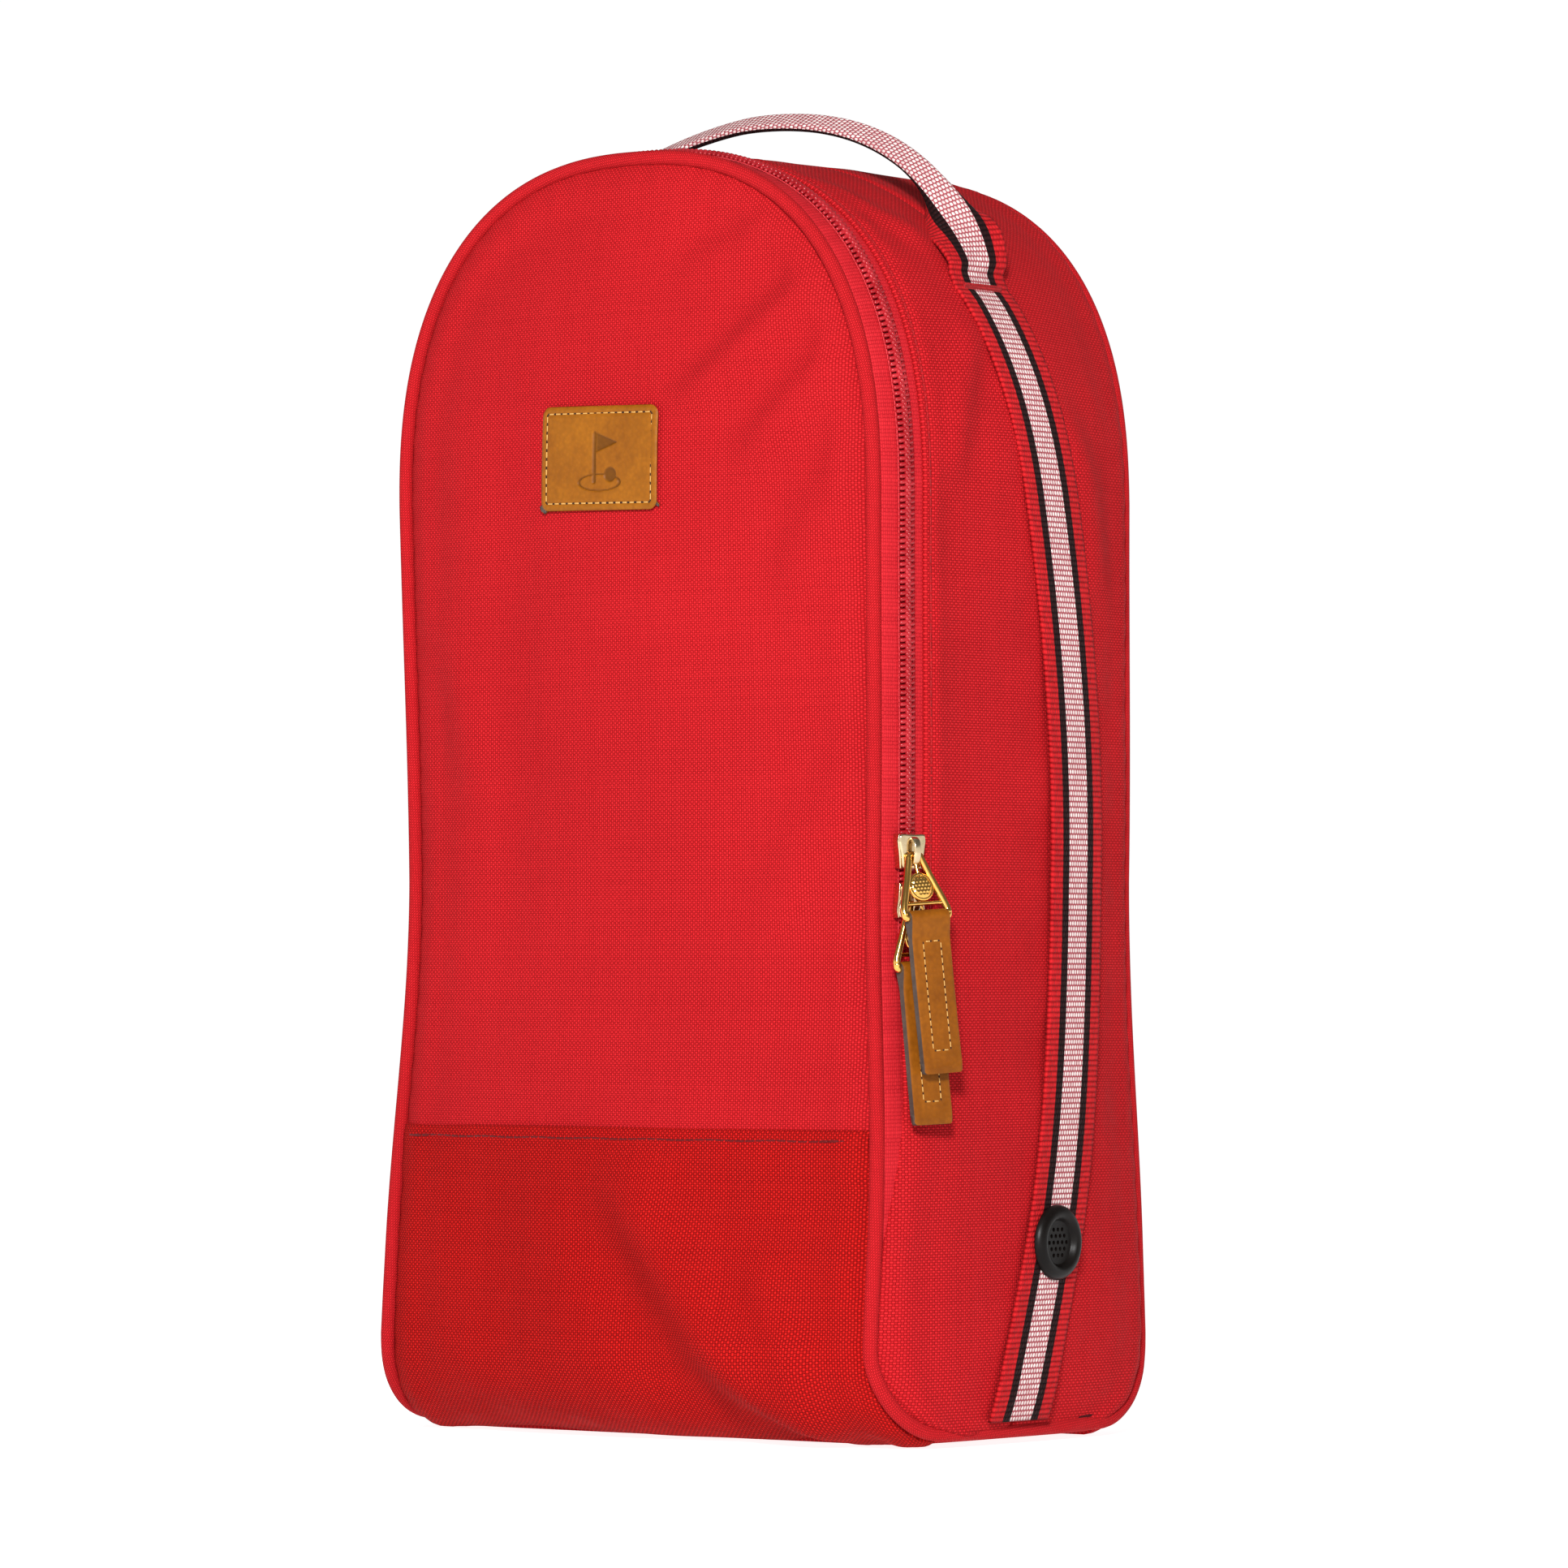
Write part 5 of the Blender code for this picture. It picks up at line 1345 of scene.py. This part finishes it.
def tab_leather(name, bend):
    """The folded strip, with painted faces that close its cut edges."""
    columns = TAB_HALF_WIDTH * np.array([-1, -0.985, -0.95, *np.linspace(-0.88, 0.88, 15), 0.95, 0.985, 1])
    profile = [("front", k) for k in np.linspace(0, 1, 40)]
    profile += [("loop", k) for k in np.linspace(0, 1, 16)[1:-1]]
    profile += [("back", k) for k in np.linspace(1, 0, 40)]
    points = np.array([[tab_point(part, k, x, bend) for x in columns] for part, k in profile])
    tab = surface(name, points, np.zeros((*points.shape[:2], 2)), TAN, centre=(0, 0, -0.02), weld=False)
    tab.data.materials.append(PAINTED)
    work = bmesh.new()
    work.from_mesh(tab.data)
    work.verts.ensure_lookup_table()
    rows, count = points.shape[:2]
    sides = []
    for column in (0, count - 1):
        for row in range(rows // 2 - 1):
            sides.append([at * count + column for at in (row, row + 1, rows - 2 - row, rows - 1 - row)])
    last = (rows - 1) * count
    sides += [(k, k + 1, last + k + 1, last + k) for k in range(count - 1)]
    for corners in sides:
        work.faces.new([work.verts[k] for k in corners]).material_index = 1
    bmesh.ops.recalc_face_normals(work, faces=work.faces)
    work.to_mesh(tab.data)
    work.free()
    return smoothed(tab, 50)


def make_tab(letter, pull_place):
    """A leather strip folded round the pull's lower bar: two layers with painted edges, stitched together."""
    place = hang(pull_place, PULL_LENGTH, 0.0, 0.0, TAB_TILT - TILT[letter])
    name = f"tab_{letter}"
    bend = -0.0010 if letter == "a" else -0.0004
    tab = tab_leather(f"{name}_leather", bend)
    tab.matrix_world = place
    ride(tab, name, "tan_leather", name)
    x, top, foot = 0.0030, -0.0068, -0.0375
    spots, ways = spaced_corners([(-x, top), (x, top), (x, foot), (-x, foot), (-x, top)], 0.0021, 0.0003)
    unit = ways / np.linalg.norm(ways, axis=1, keepdims=True)
    for side, out in (("front", -1), ("back", 1)):
        centres = spots.copy()
        centres[:, 1] = out * (TAB_THICK / 2 + 0.00002) + tab_bend(centres[:, 2], bend)
        facing = np.tile((0, out, 0), (len(centres), 1))
        ends = centres + unit * 0.00098
        sewing = capsules(
            f"{name}_stitches_{side}", centres, ways, facing, 0.00058, 0.00027, TAN_THREAD, arch=0.00018
        )
        # dark flecks at the stitch ends: painted shade of the holes
        holes = capsules(f"{name}_holes_{side}", ends, ways, facing, 0.00012, 0.00024, HOLE_SHADE, flatten=0.5)
        for piece in (sewing, holes):
            piece.matrix_world = place
            ride(piece, name, "thread")


def make_pulls():
    for letter, z, flip in (("a", SLIDER_A_Z, -1), ("b", SLIDER_B_Z, 1)):
        place = make_slider(letter, z, -flip)
        make_tab(letter, make_pull(letter, place))


# ---------------------------------------------------------------- strap and handle


def handle_point(turn):
    """Centre line of the handle: turn runs from 0 at the right root to pi at the left root."""
    foot = skin(s_at(TACK_Z), WEB_D_TOP, WEB_LIFT + WEB_THICK / 2)
    rise = HANDLE_TOP_Z - HANDLE_THICK / 2 - foot[2]
    across, up = superellipse(turn, HANDLE_POWER)
    side, above = np.sign(np.cos(turn)), np.sign(np.sin(turn))
    return np.stack([foot[0] * across * side, foot[1] + 0 * turn, foot[2] + rise * up * above], -1)


def rolled(u, curl):
    """Section of the webbing as its edges fold under: flat offset u becomes (sideways, outwards)."""
    flat, bend, steps = 0.0028, math.pi * 0.0013, 60
    away = np.abs(u)[..., None]
    curl = curl[..., None]
    past = np.clip(away * np.linspace(0, 1, steps) - flat, 0, None)
    angle = curl * np.pi * np.clip(past / bend, 0, 1)
    step = np.where(past > bend, 1 - 0.66 * curl, 1.0) * away / (steps - 1)
    dx, dy = np.cos(angle) * step, -np.sin(angle) * step
    return np.sign(u) * (dx.sum(-1) - dx[..., 0]), dy.sum(-1) - dy[..., 0]


def strap_grid(thick_lift):
    """The strap's outer face, from the foot of the right side over the handle to the foot of the left."""
    edge = np.linspace(0.0048, WEB_WIDTH / 2, 10)
    u = np.concatenate([-edge[::-1], np.linspace(-0.0040, 0.0040, 13), edge])
    z_body = np.concatenate([np.linspace(WEB_FOOT_Z, 0.300, 130), np.linspace(0.300, 0.3255, 16)[1:]])
    s = s_at(z_body)[:, None]
    body = skin(s + 0 * u, seam_d(s) + u[None, :], thick_lift)
    tack = 0.0006 * np.exp(-(((z_body[:, None] - TACK_Z) / 0.0022) ** 2))
    body[..., 0] -= tack
    turns = np.concatenate([np.linspace(0.0, 0.30, 26), np.linspace(0.30, np.pi / 2, 60)[1:]])
    middle = handle_point(turns)
    step = handle_point(turns + 0.005) - handle_point(turns - 0.005)
    outward = np.stack([step[:, 2], 0 * turns, -step[:, 0]], -1)
    outward /= np.linalg.norm(outward, axis=1, keepdims=True)
    length = lengths(middle)
    curl = ease((length - 0.013) / 0.034)
    sideways, out = rolled(*np.broadcast_arrays(u[None, :], curl[:, None]))
    twist = HANDLE_TWIST * ease((length - 0.001) / 0.028)[:, None]
    rear = np.array([[0, 1.0, 0]])
    lean = (rear * np.cos(twist) + outward * np.sin(twist))[:, None, :]
    outward = outward * np.cos(twist) - rear * np.sin(twist)
    top = middle + outward * (HANDLE_THICK / 2 * curl + WEB_THICK / 2 * (1 - curl))[:, None]
    grip = top[:, None, :] + lean * sideways[..., None] + outward[:, None, :] * out[..., None]
    share = ease((middle[:, 2] - GRIP_FROM_Z) / 0.0120)[:, None, None]
    s = s_at(np.minimum(middle[:, 2], 0.345))[:, None]
    near = skin(s + 0 * u, seam_d(s) + u[None, :], thick_lift)
    grip = grip * share + near * (1 - share)
    level = s_at(np.minimum(grip[..., 2], LEAN_TO[2]))
    clear_of_wall = skin(level, seam_d(level), thick_lift)[..., 0]
    grip[..., 0] = np.where(grip[..., 2] < LEAN_TO[2], np.maximum(grip[..., 0], clear_of_wall), grip[..., 0])
    right = np.concatenate([body, grip[middle[:, 2] > GRIP_FROM_Z]])
    left = right[-2::-1] * np.array([-1, 1, 1])
    points = np.concatenate([right, left])
    centre = points[:, len(u) // 2]
    sway = np.polyval(np.polyfit(*np.transpose(HANDLE_SWAY), 6), centre[:, 0])
    points[..., 2] += (sway * ease((centre[:, 2] - 0.334) / 0.014))[:, None]
    return points, np.stack(np.broadcast_arrays(u[None, :], lengths(centre)[:, None]), -1)


def make_strap():
    points, uv = strap_grid(WEB_LIFT + WEB_THICK)
    strap = surface("carry_strap", points, uv, WEBBING, None, 0.0011, weld=False)
    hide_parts("webbing_right", "webbing_left", "handle")
    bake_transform(strap)
    for side, mirror in (("right", 1), ("left", -1)):
        make_strap_sewing(side, np.array([mirror, 1, 1]))


def make_strap_sewing(side, flip):
    """The bar-tack at the handle's root, and two rows of stitches along the webbing. flip mirrors them."""
    count = 24
    s = np.full(count, s_at(TACK_Z))
    d = seam_d(s) + np.linspace(-0.0085, 0.0085, count)
    normal = skin_normal(s, d) * flip
    base = skin(s, d, WEB_LIFT + WEB_THICK) * flip - normal * 0.35
    ways = np.tile((0.0, 0.25, 1.0), (count, 1))
    tack = capsules(f"bar_tack_{side}_stitches", base, ways, normal, 0.0007, 0.00042, RED_THREAD)
    rod = tube("rod", base + normal * 0.05, 0.00048, RED_THREAD, 8)
    stay(joined(tack, rod), "thread", f"bar_tack_{side}")
    s = s_at(np.linspace(WEB_FOOT_Z + 0.002, TACK_Z - 0.002, 500))
    up = skin_normal(s, seam_d(s)) * flip
    for edge, offset in (("front", -0.0114), ("rear", 0.0114)):
        line = skin(s, seam_d(s) + offset, WEB_LIFT + WEB_THICK - 0.00008) * flip
        row = stitches(f"strap_stitches_{side}_{edge}", line, up, RED_THREAD, 0.0030, 0.7, 0.00022)
        stay(row, "thread")


# ---------------------------------------------------------------- vents


VENT_PROFILE = [
    (0.0, 0.0009), (0.0056, 0.0009), (0.0062, 0.0010), (0.0066, 0.0016), (0.0070, 0.0024), (0.0076, 0.0028),
    (0.0084, 0.0029), (0.0093, 0.0026), (0.0101, 0.0020), (0.0106, 0.0013), (VENT_R, 0.0006),
    (VENT_R - 0.0003, 0.0002), (0.0066, 0.0001), (0.0062, -0.0060), (0.0056, -0.0060), (0.0056, -0.0006),
    (0.0, -0.0006),
]


def turned(name, profile, look, steps=72):
    """A closed shape turned round Z from a profile of (radius, height)."""
    points, faces = [], []
    for k in range(steps):
        turn = 2 * math.pi * k / steps
        points += [(r * math.cos(turn), r * math.sin(turn), h) for r, h in profile]
    count = len(profile)
    for k in range(steps):
        a, b = k * count, ((k + 1) % steps) * count
        faces += [(a + j, b + j, b + j + 1, a + j + 1) for j in range(count - 1)]
    return smoothed(faceted(name, points, faces, look, weld=1e-7), 32)


def grille_cutter(pitch=0.00205, hole_r=0.00062, reach=0.0050):
    """Rods where the grille's holes go."""
    cutter = bmesh.new()
    for row in range(-2, 3):
        for column in range(-3, 4):
            x, y = pitch * (column + (row % 2) / 2), pitch * row * 0.9
            if math.hypot(x, y) < reach:
                bmesh.ops.create_cone(
                    cutter, cap_ends=True, segments=14, radius1=hole_r, radius2=hole_r, depth=0.006,
                    matrix=Matrix.Translation((x, y, 0)),
                )
    return saved("grille_holes", cutter, BLACK)


def make_vents():
    for side, left in (("right", False), ("left", True)):
        s = s_at(VENT_Z, left=left)
        vent = turned(f"vent_{side}", VENT_PROFILE, BLACK)
        cutter = grille_cutter()
        cut = vent.modifiers.new("grille", "BOOLEAN")
        cut.operation = "DIFFERENCE"
        cut.solver = "EXACT"
        cut.object = cutter
        applied(vent)
        bpy.data.objects.remove(cutter, do_unlink=True)
        smoothed(vent, 32)
        place = skin_frame(s, float(seam_d(s)), WEB_LIFT + WEB_THICK)
        vent.matrix_world = place @ Matrix.Rotation(math.pi / 2, 4, "X")
        stay(vent, "black_plastic", f"vent_eyelet_{side}")


# ---------------------------------------------------------------- leather patch


def segment_distance(x, z, a, b):
    du, dv = b[0] - a[0], b[1] - a[1]
    t = np.clip(((x - a[0]) * du + (z - a[1]) * dv) / (du * du + dv * dv), 0, 1)
    return np.hypot(x - a[0] - t * du, z - a[1] - t * dv)


def flag_emblem(x, z):
    """Depth, 0 to 1, of a pressed golf flag and ball, about 15 mm high."""
    pole = segment_distance(x, z, (-0.0018, -0.0066), (-0.0018, 0.0072)) - 0.00055
    share = np.clip((x + 0.0013) / 0.0078, 0, 1)
    pennant = np.maximum(np.abs(z - 0.0046) - 0.0028 * (1 - share), np.maximum(-0.0012 - x, x - 0.0064))
    ball_ring = np.hypot(x - 0.0040, z + 0.0046) - 0.0021
    ground = np.abs(np.hypot(x, (z + 0.0068) * 3.2) - 0.0075) - 0.00045
    depth = 0.0
    for distance in (pole, pennant, ball_ring, ground):
        depth = np.maximum(depth, ease(0.5 - distance / 0.00045))
    return depth


def patch_turned(x, z):
    """The patch sits a little askew."""
    c, s = math.cos(PATCH_TILT), math.sin(PATCH_TILT)
    return x * c - z * s, x * s + z * c


def on_patch(x, z, out):
    """Points at (x, z) of the patch's own plane, out beyond its face."""
    across, up = patch_turned(x, z)
    x, z = PATCH_CENTRE[0] + across, PATCH_CENTRE[1] + up
    return np.stack([x, front_y(x, z) - 0.0003 - PATCH_THICK * 0.85 - out, z], -1)


def patch_steps(half):
    """Grid lines of the patch, 0.3 mm apart and closer at its edges."""
    near = half - np.array([0, 0.0002, 0.0005])
    middle = np.linspace(-half + 0.0010, half - 0.0010, int(half * 2 / 0.00030))
    return np.concatenate([-near, middle, near[::-1]])


def make_patch():
    """Leather with rounded corners, a sewing groove and a pressed emblem, and the stitches round it."""
    x, z = np.meshgrid(patch_steps(PATCH_HALF[0]), patch_steps(PATCH_HALF[1]))
    inset_x, inset_z = PATCH_HALF[0] - np.abs(x), PATCH_HALF[1] - np.abs(z)
    cx, cz = np.clip(PATCH_CORNER - inset_x, 0, None), np.clip(PATCH_CORNER - inset_z, 0, None)
    radius = np.hypot(cx, cz)
    shrink = np.where(radius > PATCH_CORNER, PATCH_CORNER / np.maximum(radius, 1e-9), 1.0)
    px, pz = x - np.sign(x) * cx * (1 - shrink), z - np.sign(z) * cz * (1 - shrink)
    from_corner = np.where((cx > 0) & (cz > 0), PATCH_CORNER - radius * shrink, 1.0)
    rim = np.clip(np.minimum(np.minimum(inset_x, inset_z), from_corner), 0, None)
    stamp = flag_emblem(x - 0.0006, z + 0.0002)
    height = -0.00050 * np.exp(-(rim / 0.00045) ** 1.3) - 0.00022 * np.exp(-(((rim - 0.0021) / 0.00060) ** 2))
    height = height - 0.00050 * stamp + ripple(x, z, 31, 0.03, 0.00008)
    points = on_patch(px, pz, height)
    patch = surface("leather_patch_panel", points, np.stack([x, z], -1), PRESSED, weld=False)
    depth = patch.data.attributes.new("pressed", "FLOAT", "POINT")
    depth.data.foreach_set("value", stamp.reshape(-1).astype(np.float32))
    solid = patch.modifiers.new("thickness", "SOLIDIFY")
    solid.thickness, solid.offset = 0.0012, -1
    patch.data.materials.append(PAINTED)
    solid.material_offset_rim = 1
    applied(patch)
    ride(patch, "flap", "tan_leather", "leather_patch")

    hx, hz = PATCH_HALF[0] - 0.0021, PATCH_HALF[1] - 0.0021
    spots, ways = spaced_corners([(-hx, -hz), (hx, -hz), (hx, hz), (-hx, hz), (-hx, -hz)], 0.00245, 0.0003)
    centres = on_patch(spots[:, 0], spots[:, 2], -0.00012)
    across, up = patch_turned(ways[:, 0], ways[:, 2])
    ways = np.stack([across, 0 * across, up], -1)
    ways /= np.linalg.norm(ways, axis=1, keepdims=True)
    facing = np.tile((0.0, -1.0, 0.0), (len(centres), 1))
    sewing = capsules("patch_stitches", centres, ways, facing, 0.00070, 0.00026, TAN_THREAD, arch=0.00022)
    ends = np.concatenate([centres + ways * 0.00112, centres - ways * 0.00112])
    ends[:, 1] += 0.00008
    ways, facing = np.tile(ways, (2, 1)), np.tile(facing, (2, 1))
    # dark flecks at both ends of each stitch: painted shade of the holes
    holes = capsules("patch_stitch_hole_shades", ends, ways, facing, 0.00006, 0.00030, HOLE_SHADE, flatten=0.45)
    for piece in (sewing, holes):
        ride(piece, "flap", "thread")


# ---------------------------------------------------------------- assembly, floor, light and camera


def paint_frame():
    """Finishes for the CAD pieces that stay: the bindings inside and the vents' washers."""
    for name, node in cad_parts.items():
        look = BINDING if "binding" in name else BLACK
        node.data.materials.clear()
        node.data.materials.append(look)


def lamp(name, location, target, size, power):
    data = bpy.data.lights.new(name, "AREA")
    data.shape = "DISK"
    data.size = size
    data.energy = power
    obj = bpy.data.objects.new(name, data)
    bpy.context.scene.collection.objects.link(obj)
    obj.location = location
    obj.rotation_euler = (Vector(target) - Vector(location)).to_track_quat("-Z", "Y").to_euler()


def make_studio():
    mesh = bpy.data.meshes.new("floor")
    mesh.from_pydata([(-6, -6, 0), (6, -6, 0), (6, 6, 0), (-6, 6, 0)], [], [(0, 1, 2, 3)])
    floor = linked("floor", mesh, FLOOR, smooth=False)
    floor.location.z = -0.0004
    world = bpy.data.worlds.new("studio")
    world.use_nodes = True
    nodes, links = world.node_tree.nodes, world.node_tree.links
    sky = nodes["Background"]
    apart = nodes.new("ShaderNodeSeparateXYZ")
    links.new(nodes.new("ShaderNodeTexCoord").outputs["Generated"], apart.inputs[0])
    ramp = nodes.new("ShaderNodeValToRGB")
    ramp.color_ramp.interpolation = "EASE"
    elements = ramp.color_ramp.elements
    elements[0].color, elements[1].color = (1, 1, 1, 1), (0.30, 0.30, 0.30, 1)
    for at, level in ((0.15, 1.0), (0.30, 0.20), (0.75, 0.16)):
        elements.new(at).color = (level, level, level, 1)
    links.new(apart.outputs[2], ramp.inputs[0])
    links.new(ramp.outputs[0], sky.inputs["Color"])
    sky.inputs["Strength"].default_value = 1.02
    bpy.context.scene.world = world
    target = (0, 0, 0.19)
    lamp("key", (1.22, -1.74, 1.02), target, 0.40, 70)
    lamp("side_light", (-1.3, -1.6, 0.7), target, 1.0, 1.5)
    bpy.context.scene.view_settings.view_transform = "Standard"
    bpy.context.scene.view_settings.look = "None"


def make_camera():
    """Looks from 38 degrees to the right of the front, and slightly upwards from below the middle."""
    turn, distance, pitch, offset = math.radians(38), 2.3, 0.0235, 0.0064
    side = Vector((math.cos(turn), math.sin(turn), 0))
    away = Vector((math.sin(turn), -math.cos(turn), 0))
    data = bpy.data.cameras.new("camera")
    data.sensor_width = 36.0
    data.lens = 180.1
    camera = bpy.data.objects.new("camera", data)
    bpy.context.scene.collection.objects.link(camera)
    camera.location = away * distance + side * offset + Vector((0, 0, 0.135))
    look = -away * math.cos(pitch) + Vector((0, 0, math.sin(pitch)))
    camera.rotation_euler = look.to_track_quat("-Z", "Y").to_euler()
    bpy.context.scene.camera = camera


def main():
    paint_frame()
    make_panels()
    make_piping()
    make_gusset()
    make_zip()
    make_pulls()
    make_strap()
    make_vents()
    make_patch()
    make_studio()
    make_camera()


main()
